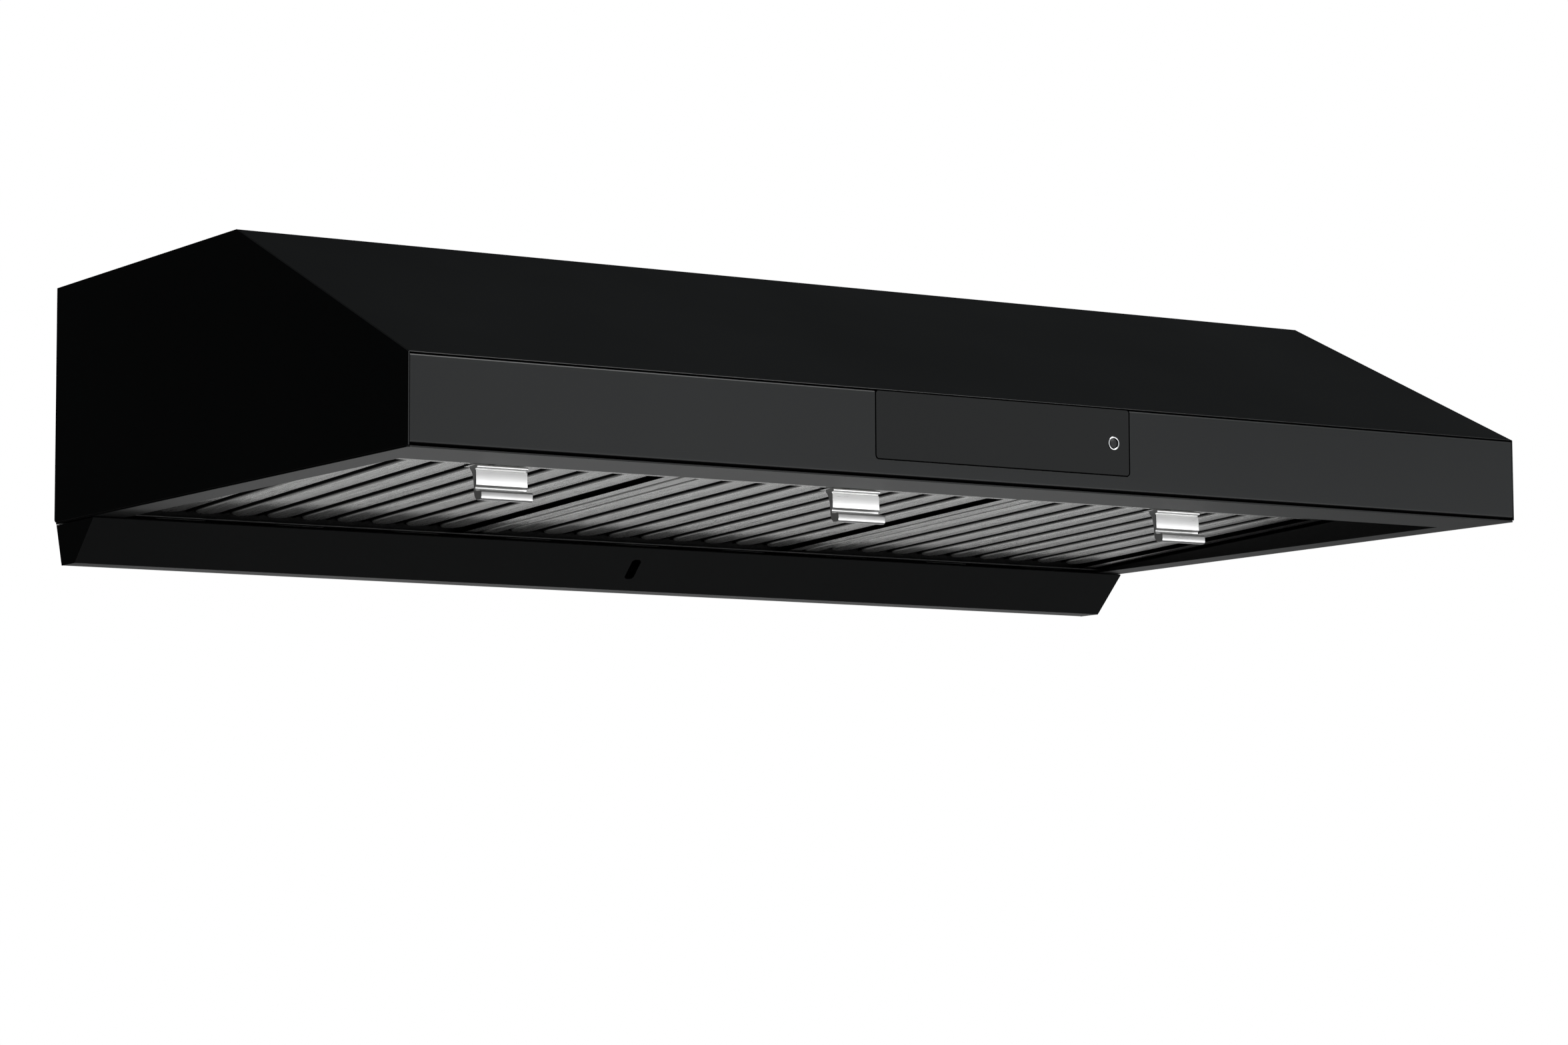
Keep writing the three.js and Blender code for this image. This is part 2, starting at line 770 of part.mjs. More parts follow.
// lower row: channels open upwards, one between each pair of gaps
function frontBaffles() {
  const z = filterSheet + fitGap;
  const count = gapsPerFilter - 1;
  const rear = filterTail - filterRearBand + baffleLap;
  const baffles = Array.from({ length: count }, (_, i) => {
    const x = (i - (count - 1) / 2) * bafflePitch;
    return alongY(baffleSection(x, z, 1), baffleStart(x), rear);
  });
  const front = frontEdge + filterFrontBand - baffleLap;
  const reach = ((count - 1) * bafflePitch) / 2;
  const latchSide = latchBarWidth / 2 + 2 * fitGap;
  const ties = [
    block([-reach, -latchSide], [front, front + tieWidth], [z, z + filterSheet]),
    block([latchSide, reach], [front, front + tieWidth], [z, z + filterSheet]),
    block([-reach, reach], [rear - tieWidth, rear], [z, z + filterSheet]),
  ];
  return join(...baffles, ...ties);
}

// upper row: channels open downwards, one over each gap
function backBaffles() {
  const z = filterThickness - filterSheet - fitGap;
  const front = frontEdge + filterFrontBand - baffleLap;
  const rear = filterTail - filterSheet - fitGap;
  const baffles = Array.from({ length: gapsPerFilter }, (_, i) => {
    const x = (i - (gapsPerFilter - 1) / 2) * bafflePitch;
    return alongY(baffleSection(x, z, -1), front, rear);
  });
  const reach = ((gapsPerFilter - 1) * bafflePitch) / 2;
  const tie = block([-reach, reach], [rear - tieWidth, rear], [z - filterSheet, z]);
  return join(...baffles, tie);
}

function lugStart() {
  return handleFace + latchLugSetback;
}

// spring latch: the tongue reaches through the front wall, the lug down through the tab
function latchBar() {
  const step = frontEdge + filterFrontBand - baffleLap - latchTravel - 2 * fitGap;
  const tip = -filterReach - filterFrontClearance - latchLap;
  const rear = lugStart() + latchLugLength + fitGap;
  const section = sheetSection([
    [tip, latchRise],
    [step - latchBarSheet, latchRise],
    [step - latchBarSheet, latchStep],
    [rear, latchStep],
  ], latchBarSheet, latchBarSheet);
  const bar = alongX(section, -latchBarWidth / 2, latchBarWidth / 2);
  const lug = block(
    [-latchLugWidth / 2, latchLugWidth / 2],
    [lugStart(), lugStart() + latchLugLength],
    [-fitGap / 2, latchStep + latchBarSheet / 2],
  );
  return join(bar, lug);
}

// extruded pull: foot, bead, flat face, hollow and rolled lip
function handleSection() {
  const top = -fitGap / 2 - fitGap;
  const neckTop = top - 2 * pullBeadRadius;
  const shape = new THREE.Shape();
  shape.moveTo(pullFootDepth, top);
  shape.lineTo(-pullBeadSet, top);
  shape.absarc(-pullBeadSet, top - pullBeadRadius, pullBeadRadius, Math.PI / 2, 1.5 * Math.PI, false);
  shape.lineTo(pullNeckDepth, neckTop);
  shape.lineTo(pullNeckDepth, neckTop - pullNeckHeight);
  shape.lineTo(0, top - pullFaceTop);
  shape.lineTo(0, top - pullFaceBottom);
  Object.values(pullBends).forEach(([viaY, viaZ, endY, endZ]) => {
    shape.quadraticCurveTo(viaY, top + viaZ, endY, top + endZ);
  });
  shape.lineTo(pullBack[0], top + pullBack[1]);
  shape.quadraticCurveTo(pullWeb[0], top + pullWeb[1], pullFootDepth, top - pullFootEdge);
  shape.closePath();
  return shape;
}

function handle() {
  return alongX(handleSection(), -handleWidth / 2, handleWidth / 2).translate(0, handleFace, 0);
}

// ---------- rear rail and grease tray ----------

function rearRail() {
  const frontY = bodyDepth - railReach;
  const wallY = innerRear - fitGap;
  const tailDrop = filterTail * Math.tan(filterTilt);
  const ledge = pivotZ - tailDrop - fitGap - panelSheet;
  const section = sheetSection([
    [frontY, ledge],
    [frontY + railLedge, ledge],
    [frontY + railLedge, railBayHeight],
    [wallY, railBayHeight],
    [wallY, railBayHeight + sideFlange],
  ], panelSheet);
  const pitch = 2 * rimInner / drainSlotCount;
  const drains = Array.from({ length: drainSlotCount }, (_, i) => {
    const x = (i - (drainSlotCount - 1) / 2) * pitch;
    return block(
      [x - drainSlotLength / 2, x + drainSlotLength / 2],
      [frontY + drainSlotSetback, frontY + drainSlotSetback + drainSlotWidth],
      [ledge - cutOver, ledge + panelSheet + cutOver],
    );
  });
  const half = halfWidth - panelSheet - sideFlange - fitGap;
  return cut(alongX(section, -half, half), ...drains);
}

const trayTop = -trayDropGap;
const trayLipY = bodyDepth - trayDepth;
const trayRearY = bodyDepth - trayRearGap;
const trayFloor = trayTop - trayDrop;

function greaseTray() {
  const floorFrontY = bodyDepth - trayFloorFront;
  const floorRearY = bodyDepth - trayFloorRear;
  const trough = sheetSection([
    [trayLipY, trayTop],
    [floorFrontY, trayFloor],
    [floorRearY, trayFloor],
    [trayRearY, trayTop],
  ], traySheet);
  const slope = new THREE.Vector2(floorFrontY - trayLipY, trayFloor - trayTop).normalize();
  const inward = new THREE.Vector2(-slope.y, slope.x);
  const hemStart = new THREE.Vector2(trayLipY, trayTop).addScaledVector(slope, hemFold);
  const hemEnd = hemStart.clone().addScaledVector(slope, trayHem);
  const hem = new THREE.Shape([
    hemStart,
    hemEnd,
    hemEnd.clone().addScaledVector(inward, hemFold),
    hemStart.clone().addScaledVector(inward, hemFold),
  ]);
  const endPlate = polygon([
    [trayLipY, trayTop],
    [floorFrontY, trayFloor],
    [floorRearY, trayFloor],
    [trayRearY, trayTop],
  ]);
  const upstand = block(
    [-rimInner + trayUpstandGap, rimInner - trayUpstandGap],
    [trayRearY - traySheet, trayRearY],
    [trayTop - traySheet, trayTop + trayUpstand],
  );
  const ends = [-1, 1].map((side) => alongX(endPlate, ...fromSide(side, 0, traySheet)));
  const tray = join(
    alongX(trough, -halfWidth, halfWidth),
    alongX(hem, -halfWidth, halfWidth),
    upstand,
    ...ends,
  );
  return cut(tray, traySlot(slope, floorFrontY));
}

// slot through the middle of the sloping front, its length up the slope
function traySlot(slope, floorFrontY) {
  const outline = roundedRectangle(
    [-traySlotWidth / 2, traySlotWidth / 2],
    [-traySlotLength / 2, traySlotLength / 2],
    traySlotCorner,
  );
  const reach = traySheet + cutOver;
  const slot = alongZ(outline, -reach, reach);
  slot.rotateX(Math.atan2(slope.y, slope.x));
  return slot.translate(0, (trayLipY + floorFrontY) / 2, (trayTop + trayFloor) / 2);
}

// spring steel strip on the rear panel whose fingers grip the tray's upstand
function trayClipStrip() {
  const wall = innerRear - fitGap;
  const grip = trayRearY - traySheet - fitGap;
  const top = trayTop + trayUpstand + clipHeadroom;
  const stripTop = top + clipStripHeight;
  const finger = sheetSection([
    [grip, clipFoot],
    [grip, top],
    [wall, top],
    [wall, stripTop],
  ], clipSheet, clipBend);
  const pitch = 2 * rimInner / trayClipCount;
  const fingers = Array.from({ length: trayClipCount }, (_, i) => {
    const x = (i - (trayClipCount - 1) / 2) * pitch;
    return alongX(finger, x - trayClipWidth / 2, x + trayClipWidth / 2);
  });
  const reach = ((trayClipCount - 1) * pitch + trayClipWidth) / 2;
  const strip = block([-reach, reach], [wall - clipSheet, wall], [stripTop - clipStripHeight / 2, stripTop]);
  return join(strip, ...fingers);
}

// ---------- controls ----------

const glassTop = fasciaTop;
const buttonHoleRadius = buttonRingDiameter / 2 - buttonRingWidth;

function controlGlass() {
  const outline = roundedRectangle(
    [-glassWidth / 2 + glassGap, glassWidth / 2 - glassGap],
    [glassBottom + glassGap, glassTop],
    glassCorner - glassGap,
  );
  const through = [-cutOver, glassThickness + cutOver];
  const hole = barAlongY(buttonHoleRadius + fitGap, buttonX, through, buttonZ);
  return cut(alongY(outline, 0, glassThickness), hole);
}

function buttonRing() {
  const outer = buttonRingDiameter / 2;
  const inner = buttonHoleRadius - fitGap;
  const foot = fitGap / 2;
  const face = foot + buttonRingProud;
  const ring = turned([
    [inner, foot],
    [outer, foot],
    [outer, face - buttonRingChamfer],
    [outer - buttonRingChamfer, face],
    [inner, face],
    [inner, foot],
  ], 0, 0, 28);
  return ring.rotateX(Math.PI / 2).translate(buttonX, 0, buttonZ);
}

function powerButton() {
  const radius = buttonHoleRadius - 2 * fitGap;
  const crown = [1, 0.75, 0.5, 0.25, 0].map((share) => [
    radius * share,
    buttonCrown * (1 - share * share),
  ]);
  const cap = turned([
    [0, -buttonHeight],
    [radius, -buttonHeight],
    ...crown,
    [0, -buttonHeight],
  ], 0, 0, 24);
  return cap.rotateX(Math.PI / 2).translate(buttonX, 0, buttonZ);
}

const boardFront = buttonHeight + buttonTravel + fitGap;

function controlBoard() {
  return block(
    [-glassWidth / 2 + boardMargin, glassWidth / 2 - boardMargin],
    [boardFront, boardFront + boardThickness],
    [glassBottom + boardMargin, glassTop - boardMargin],
  );
}

function controlHousing() {
  const outer = block(
    [-glassWidth / 2 + glassGap, glassWidth / 2 - glassGap],
    [glassThickness + fitGap, glassThickness + fitGap + controlDepth],
    [glassBottom + glassGap, glassTop - panelSheet - fitGap],
  );
  const inner = block(
    [-glassWidth / 2 + glassGap + controlWall, glassWidth / 2 - glassGap - controlWall],
    [glassThickness + fitGap - cutOver, glassThickness + fitGap + controlDepth - controlWall],
    [glassBottom + glassGap + controlWall, glassTop - panelSheet - fitGap - controlWall],
  );
  return cut(outer, inner);
}

// ---------- blower ----------

const tongueAngle = Math.PI / 6;
const scrollSteps = 26;

// the scroll's outline for one side, moved outwards from the air's side by a distance
function scrollOutline(side, outward) {
  const centreX = -blowerSpacing / 2;
  const sweepStart = Math.PI / 2;
  const sweep = 2 * Math.PI - sweepStart + tongueAngle;
  const outletX = -ductWidth / 2 - fitGap;
  const rearY = blowerY + outletRadius + outward;
  const points = [[outletX, rearY]];
  for (let i = 0; i <= scrollSteps; i += 1) {
    const share = i / scrollSteps;
    const angle = sweepStart + share * sweep;
    const radius = outletRadius + (tongueRadius - outletRadius) * share + outward;
    points.push([centreX + radius * Math.cos(angle), blowerY + radius * Math.sin(angle)]);
  }
  points.push([outletX, blowerY + tongueRadius * Math.sin(tongueAngle) - outward]);
  return points.map(([x, y]) => [-side * x, y]);
}

function scrollHousing(side) {
  const outer = alongZ(polygon(scrollOutline(side, scrollSheet)), scrollBottom, scrollTop);
  const inner = alongZ(
    polygon(scrollOutline(side, 0)),
    scrollBottom + scrollSheet,
    scrollTop - scrollSheet,
  );
  const outletY = [blowerY + tongueRadius * Math.sin(tongueAngle), blowerY + outletRadius];
  const outletX = side * (ductWidth / 2 + fitGap);
  const mouthReach = scrollSheet + cutOver;
  const mouth = block(
    [outletX - mouthReach, outletX + mouthReach],
    outletY,
    [scrollBottom + scrollSheet, scrollTop - scrollSheet],
  );
  const centreX = side * blowerSpacing / 2;
  const throughPlate = [scrollBottom - cutOver, scrollBottom + scrollSheet + cutOver];
  const inlet = disc(inletDiameter / 2 + fitGap, centreX, blowerY, throughPlate, 32);
  return cut(outer, inner, mouth, inlet);
}

function inletRing(side) {
  const radius = inletDiameter / 2;
  const throat = radius - inletThroat;
  const face = scrollBottom - fitGap;
  return turned([
    [radius + inletFlange, face],
    [radius, face],
    [throat, face + inletLip / 2],
    [throat, face + inletLip],
    [throat - scrollSheet, face + inletLip],
    [throat - scrollSheet, face + (inletLip - scrollSheet) / 2],
    [radius - scrollSheet, face - scrollSheet],
    [radius + inletFlange, face - scrollSheet],
    [radius + inletFlange, face],
  ], side * blowerSpacing / 2, blowerY, 26);
}

const wheelTop = scrollTop - scrollSheet - wheelHeadroom;
const wheelBottom = wheelTop - wheelHeight;
const wheelSides = 24;

function wheelBlade(index, spin) {
  const inner = wheelRadius - wheelBladeDepth;
  const turn = (2 * Math.PI * index) / wheelBladeCount;
  const stations = [
    [inner, 0],
    [(inner + wheelRadius) / 2, bladeLeanMiddle],
    [wheelRadius - wheelSheet, bladeLean],
  ];
  const path = stations.map(([r, lead]) => [
    r * Math.cos(turn + spin * lead),
    r * Math.sin(turn + spin * lead),
  ]);
  return alongZ(sheetSection(path, wheelSheet, 0), wheelBottom + wheelSheet, wheelTop - wheelSheet / 2);
}

// forward curved wheel with a dished back that leaves room for the motor
function impeller(side) {
  const dishRim = wheelRadius - wheelBladeDepth - dishMargin;
  const dishRadius = motorDiameter / 2 + dishClearance;
  const dishFloor = motorFloor() - dishGap;
  const hubRadius = hubDiameter / 2;
  const bore = (shaftDiameter + fitGap) / 2;
  const back = turned([
    [wheelRadius, wheelTop],
    [dishRim, wheelTop],
    [dishRadius, dishFloor],
    [hubRadius, dishFloor],
    [hubRadius, dishFloor + hubRise],
    [bore, dishFloor + hubRise],
    [bore, dishFloor - hubLength],
    [hubRadius, dishFloor - hubLength],
    [hubRadius, dishFloor - wheelPlate],
    [dishRadius + wheelSheet, dishFloor - wheelPlate],
    [dishRim + wheelSheet, wheelTop - wheelPlate],
    [wheelRadius, wheelTop - wheelPlate],
    [wheelRadius, wheelTop],
  ], 0, 0, wheelSides);
  const ring = turned([
    [wheelRadius, wheelBottom],
    [wheelRadius, wheelBottom + wheelRingLip],
    [wheelRadius - wheelPlate, wheelBottom + wheelRingLip],
    [wheelRadius - wheelPlate, wheelBottom + wheelPlate],
    [wheelRadius - wheelBladeDepth, wheelBottom + wheelPlate],
    [wheelRadius - wheelBladeDepth, wheelBottom],
    [wheelRadius, wheelBottom],
  ], 0, 0, wheelSides);
  const blades = Array.from({ length: wheelBladeCount }, (_, i) => wheelBlade(i, side));
  return join(back, ring, ...blades).translate(side * blowerSpacing / 2, blowerY, 0);
}

function motorFloor() {
  return scrollTop - scrollSheet - fitGap - motorHeight;
}

function motor(side) {
  const radius = motorDiameter / 2;
  const top = scrollTop - scrollSheet - fitGap;
  const floor = motorFloor();
  const bore = shaftDiameter / 2 + fitGap;
  const waist = radius - motorCollarStep;
  return turned([
    [0, top],
    [0, floor + motorBore],
    [bore, floor + motorBore],
    [bore, floor - motorBossHeight],
    [motorBoss - motorBossHeight, floor - motorBossHeight],
    [motorBoss, floor],
    [radius - motorShoulder, floor],
    [radius, floor + motorShoulder],
    [radius, top - motorCollar],
    [waist, top - motorCollar + motorCollarStep],
    [waist, top],
    [0, top],
  ], side * blowerSpacing / 2, blowerY, 22);
}

function motorShaft(side) {
  const radius = shaftDiameter / 2;
  const floor = motorFloor();
  return disc(radius, side * blowerSpacing / 2, blowerY, [floor - shaftReach, floor + shaftSeat], 20);
}

function outletBox() {
  const front = blowerY + tongueRadius * Math.sin(tongueAngle);
  const rear = blowerY + outletRadius;
  const outletTop = collarBottom - fitGap;
  const section = sheetSection([
    [front - scrollSheet, outletTop],
    [front - scrollSheet, scrollBottom],
    [rear + scrollSheet, scrollBottom],
    [rear + scrollSheet, outletTop],
  ], scrollSheet);
  const half = ductWidth / 2 - fitGap;
  const endStrips = [-1, 1].map((side) => block(
    [side * half, side * (half - scrollSheet)],
    [front - scrollSheet / 2, rear + scrollSheet / 2],
    [scrollTop + fitGap, outletTop],
  ));
  return join(alongX(section, -half, half), ...endStrips);
}

// ---------- duct collar and damper ----------

const collarBottom = innerTop - fitGap - ductSheet;
const collarTop = bodyHeight + ductRise;
const flapZ = bodyHeight + ductRise / 2;
const flapAxisY = ductCentreY + ductDepth / 2 - ductSheet - flapBarrel / 2 - flapClearance;

function ductCollar() {
  const halfX = ductWidth / 2;
  const halfY = ductDepth / 2;
  const tube = block([-halfX, halfX], [ductCentreY - halfY, ductCentreY + halfY], [collarBottom, collarTop]);
  const flangeRear = Math.min(ductCentreY + halfY + ductFlange, innerRear - ductFlangeRear);
  const flange = block(
    [-halfX - ductFlange, halfX + ductFlange],
    [ductCentreY - halfY - ductFlange, flangeRear],
    [collarBottom, collarBottom + ductSheet],
  );
  const bore = block(
    [-halfX + ductSheet, halfX - ductSheet],
    [ductCentreY - halfY + ductSheet, ductCentreY + halfY - ductSheet],
    [collarBottom - cutOver, collarTop + cutOver],
  );
  const stop = block(
    [-halfX + ductSheet / 2, halfX - ductSheet / 2],
    [ductCentreY - halfY + ductSheet / 2, ductCentreY - halfY + ductSheet + flapStop],
    [flapZ - flapBarrel / 2 - fitGap - ductSheet, flapZ - flapBarrel / 2 - fitGap],
  );
  const through = [-halfX - cutOver, halfX + cutOver];
  const pinHole = barAlongX(flapPin / 2 + fitGap / 2, through, flapAxisY, flapZ);
  return cut(join(cut(join(tube, flange), bore), stop), pinHole);
}

function damperFlap() {
  const half = ductWidth / 2 - ductSheet - flapClearance;
  const front = ductCentreY - ductDepth / 2 + ductSheet + flapClearance;
  const bottom = flapZ - flapBarrel / 2;
  const plate = block([-half, half], [front, flapAxisY], [bottom, bottom + flapSheet]);
  const barrel = barAlongX(flapBarrel / 2, [-half, half], flapAxisY, flapZ);
  const through = [-half - cutOver, half + cutOver];
  const bore = barAlongX(flapPin / 2 + fitGap / 2, through, flapAxisY, flapZ);
  return cut(join(plate, barrel), bore);
}

function damperPin() {
  const reach = ductWidth / 2 + flapPinProud;
  return barAlongX(flapPin / 2, [-reach, reach], flapAxisY, flapZ, 12);
}

// ---------- wiring ----------

function junctionY() {
  return innerRear - fitGap - junctionDepth / 2;
}

function junctionZ() {
  return innerTop - fitGap - junctionHeight / 2;
}

function junctionBox() {
  const span = [junctionX - junctionWidth / 2, junctionX + junctionWidth / 2];
  const top = innerTop - fitGap;
  const rear = innerRear - fitGap;
  const outer = block(span, [rear - junctionDepth, rear], [top - junctionHeight, top]);
  const inner = block(
    [span[0] + junctionSheet, span[1] - junctionSheet],
    [rear - junctionDepth + junctionSheet, rear - junctionSheet],
    [top - junctionHeight - cutOver, top - junctionSheet],
  );
  const throughTopWall = [top - junctionSheet - cutOver, top + cutOver];
  const throughRearWall = [rear - junctionSheet - cutOver, rear + cutOver];
  const topHole = disc(entryDiameter / 2, junctionX, junctionY(), throughTopWall);
  const rearHole = barAlongY(entryDiameter / 2, junctionX, throughRearWall, junctionZ());
  return cut(outer, inner, topHole, rearHole);
}

function junctionCover() {
  const span = [junctionX - junctionWidth / 2, junctionX + junctionWidth / 2];
  const bottom = innerTop - fitGap - junctionHeight - fitGap;
  const rear = innerRear - fitGap;
  return block(span, [rear - junctionDepth, rear], [bottom - junctionSheet, bottom]);
}

function powerModule() {
  const top = innerTop - fitGap;
  const rear = innerRear - fitGap;
  const foot = top - moduleHeight;
  const halfModule = moduleWidth / 2;
  const box = block([moduleX - halfModule, moduleX + halfModule], [rear - moduleDepth, rear], [foot, top]);
  const halfCore = halfModule - moduleGroove;
  const lidGroove = cut(
    block(
      [moduleX - halfModule - cutOver, moduleX + halfModule + cutOver],
      [rear - moduleDepth - cutOver, rear + cutOver],
      [foot + moduleLid, foot + moduleLid + moduleGroove],
    ),
    block(
      [moduleX - halfCore, moduleX + halfCore],
      [rear - moduleDepth + moduleGroove, rear - moduleGroove],
      [foot, top],
    ),
  );
  return cut(box, lidGroove);
}

// ---------- assembly ----------

const hood = new THREE.Group();
hood.position.set(0, -(bodyDepth - topDepth / 2), -bodyHeight);

function place(group, name, geometry, material) {
  const mesh = new THREE.Mesh(geometry, material);
  mesh.name = name;
  group.add(mesh);
}

place(hood, 'wrap_panel', wrapPanel(), blackCoat());
place(hood, 'rear_panel', rearPanel(), blackCoat());
place(hood, 'fascia_panel', fasciaPanel(), blackCoat());
place(hood, 'underside_rim', undersideRim(), blackCoat());
place(hood, 'lamp_panel', lampPanel(), blackCoat());
place(hood, 'rear_filter_rail', rearRail(), blackCoat());
place(hood, 'grease_tray', greaseTray(), blackCoat());
place(hood, 'tray_clip_strip', trayClipStrip(), zincSteel());
place(hood, 'control_glass', controlGlass(), blackGlass());
place(hood, 'control_housing', controlHousing(), blackPlastic());
place(hood, 'control_board', controlBoard(), boardGreen());
place(hood, 'button_ring', buttonRing(), chrome());
place(hood, 'power_button', powerButton(), blackPlastic());
place(hood, 'outlet_box', outletBox(), galvanised());
place(hood, 'duct_collar', ductCollar(), galvanised());
place(hood, 'damper_flap', damperFlap(), galvanised());
place(hood, 'damper_pin', damperPin(), zincSteel());
place(hood, 'junction_box', junctionBox(), galvanised());
place(hood, 'junction_cover', junctionCover(), galvanised());
place(hood, 'power_module', powerModule(), blackPlastic());

for (const [word, side] of [['left', -1], ['right', 1]]) {
  place(hood, `${word}_side_panel`, sidePanel(side), blackCoat());
  place(hood, `${word}_lamp_ring`, lampRing(side), chrome());
  place(hood, `${word}_lamp_lens`, lampLens(side), frostedLens());
  place(hood, `${word}_lamp_body`, lampBody(side), aluminium());
  place(hood, `${word}_scroll_housing`, scrollHousing(side), galvanised());
  place(hood, `${word}_inlet_ring`, inletRing(side), galvanised());
  place(hood, `${word}_impeller`, impeller(side), galvanised());
  place(hood, `${word}_motor`, motor(side), zincSteel());
  place(hood, `${word}_motor_shaft`, motorShaft(side), zincSteel());
}

const filterWords = ['left', 'centre', 'right'];
filterCentres().forEach((x, i) => {
  const filter = new THREE.Group();
  filter.position.set(x, pivotY, pivotZ);
  filter.rotation.x = -filterTilt;
  hood.add(filter);
  const word = filterWords[i] ?? `extra_${i + 1}`;
  place(filter, `${word}_filter_frame`, filterFrame(), stainless());
  place(filter, `${word}_filter_front_baffles`, frontBaffles(), stainless());
  place(filter, `${word}_filter_back_baffles`, backBaffles(), stainless());
  place(filter, `${word}_filter_latch_bar`, latchBar(), zincSteel());
  place(filter, `${word}_filter_handle`, handle(), aluminium());
});

export default hood;
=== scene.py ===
import json
import math

import bmesh
import bpy
from mathutils import Matrix, Vector


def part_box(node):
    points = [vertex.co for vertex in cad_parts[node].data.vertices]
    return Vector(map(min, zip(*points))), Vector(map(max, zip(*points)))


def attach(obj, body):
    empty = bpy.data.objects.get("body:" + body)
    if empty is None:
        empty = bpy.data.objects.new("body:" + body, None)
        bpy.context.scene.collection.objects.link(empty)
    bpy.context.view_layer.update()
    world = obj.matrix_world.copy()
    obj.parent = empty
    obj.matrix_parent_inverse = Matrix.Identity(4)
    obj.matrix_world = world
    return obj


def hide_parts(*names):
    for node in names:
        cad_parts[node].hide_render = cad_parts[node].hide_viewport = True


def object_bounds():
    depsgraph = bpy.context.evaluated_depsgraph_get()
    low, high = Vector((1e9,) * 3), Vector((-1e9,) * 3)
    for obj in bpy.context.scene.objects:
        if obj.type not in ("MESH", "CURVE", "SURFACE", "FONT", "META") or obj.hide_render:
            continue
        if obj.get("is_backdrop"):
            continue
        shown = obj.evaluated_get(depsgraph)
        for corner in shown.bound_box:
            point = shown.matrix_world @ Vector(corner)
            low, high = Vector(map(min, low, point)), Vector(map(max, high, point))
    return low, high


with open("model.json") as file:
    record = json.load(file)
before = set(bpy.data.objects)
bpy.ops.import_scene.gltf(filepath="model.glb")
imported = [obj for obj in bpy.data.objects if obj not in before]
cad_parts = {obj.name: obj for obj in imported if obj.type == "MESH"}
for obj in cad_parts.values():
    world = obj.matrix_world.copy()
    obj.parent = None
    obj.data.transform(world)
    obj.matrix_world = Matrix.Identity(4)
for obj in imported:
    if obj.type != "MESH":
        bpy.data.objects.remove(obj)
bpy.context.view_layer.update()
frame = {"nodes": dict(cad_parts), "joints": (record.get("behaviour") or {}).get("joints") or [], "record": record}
print("frame loaded:", len(frame["nodes"]), "nodes")

mm = 0.001
scene = bpy.context.scene
joints = {joint["name"]: joint for joint in frame["joints"]}
filterWords = ["left", "centre", "right"]
sideWords = {"left": -1, "right": 1}


# camera and stage

camera = dict(
    place=(-1.75026, -2.85777, -0.50743),
    yaw=32.58480,
    pitch=5.89302,
    roll=-0.25597,
    lens=103.053,
    sensor=36.0,
)


def aimCamera(facts):
    yaw, pitch, roll = (math.radians(facts[key]) for key in ("yaw", "pitch", "roll"))
    ahead = Vector((math.sin(yaw) * math.cos(pitch), math.cos(yaw) * math.cos(pitch), math.sin(pitch)))
    level = Vector((math.cos(yaw), -math.sin(yaw), 0))
    upright = level.cross(ahead)
    right = level * math.cos(roll) + upright * math.sin(roll)
    up = upright * math.cos(roll) - level * math.sin(roll)
    data = bpy.data.cameras.new("camera")
    data.lens = facts["lens"]
    data.sensor_width = facts["sensor"]
    data.clip_end = 100
    obj = bpy.data.objects.new("camera", data)
    turn = Matrix((right, up, -ahead)).transposed()
    obj.matrix_world = Matrix.Translation(facts["place"]) @ turn.to_4x4()
    scene.collection.objects.link(obj)
    scene.camera = obj


aimCamera(camera)
scene.view_settings.view_transform = "Standard"


# shader maths: a wire is one output of a node, and arithmetic on wires adds Math nodes

class Wire:
    def __init__(self, shader, socket):
        self.shader = shader
        self.socket = socket

    def maths(self, operation, *values):
        inputs = dict(enumerate(values))
        return self.shader.add("ShaderNodeMath", dict(operation=operation), inputs)

    def __add__(self, other):
        return self.maths("ADD", self, other)

    def __radd__(self, other):
        return self.maths("ADD", other, self)

    def __sub__(self, other):
        return self.maths("SUBTRACT", self, other)

    def __rsub__(self, other):
        return self.maths("SUBTRACT", other, self)

    def __mul__(self, other):
        return self.maths("MULTIPLY", self, other)

    def __pow__(self, other):
        return self.maths("POWER", self, other)

    # from 0 at low to 1 at high
    def spread(self, low, high, smooth=True):
        kind = "SMOOTHSTEP" if smooth else "LINEAR"
        inputs = {"Value": self, "From Min": low, "From Max": high}
        return self.shader.add("ShaderNodeMapRange", dict(interpolation_type=kind), inputs)

    def other(self, name):
        return Wire(self.shader, self.socket.node.outputs[name])


surfaceInputs = dict(
    colour="Base Color",
    metallic="Metallic",
    roughness="Roughness",
    normal="Normal",
    ior="IOR",
    specular="Specular IOR Level",
    subsurface="Subsurface Weight",
    glow="Emission Color",
    glowStrength="Emission Strength",
)


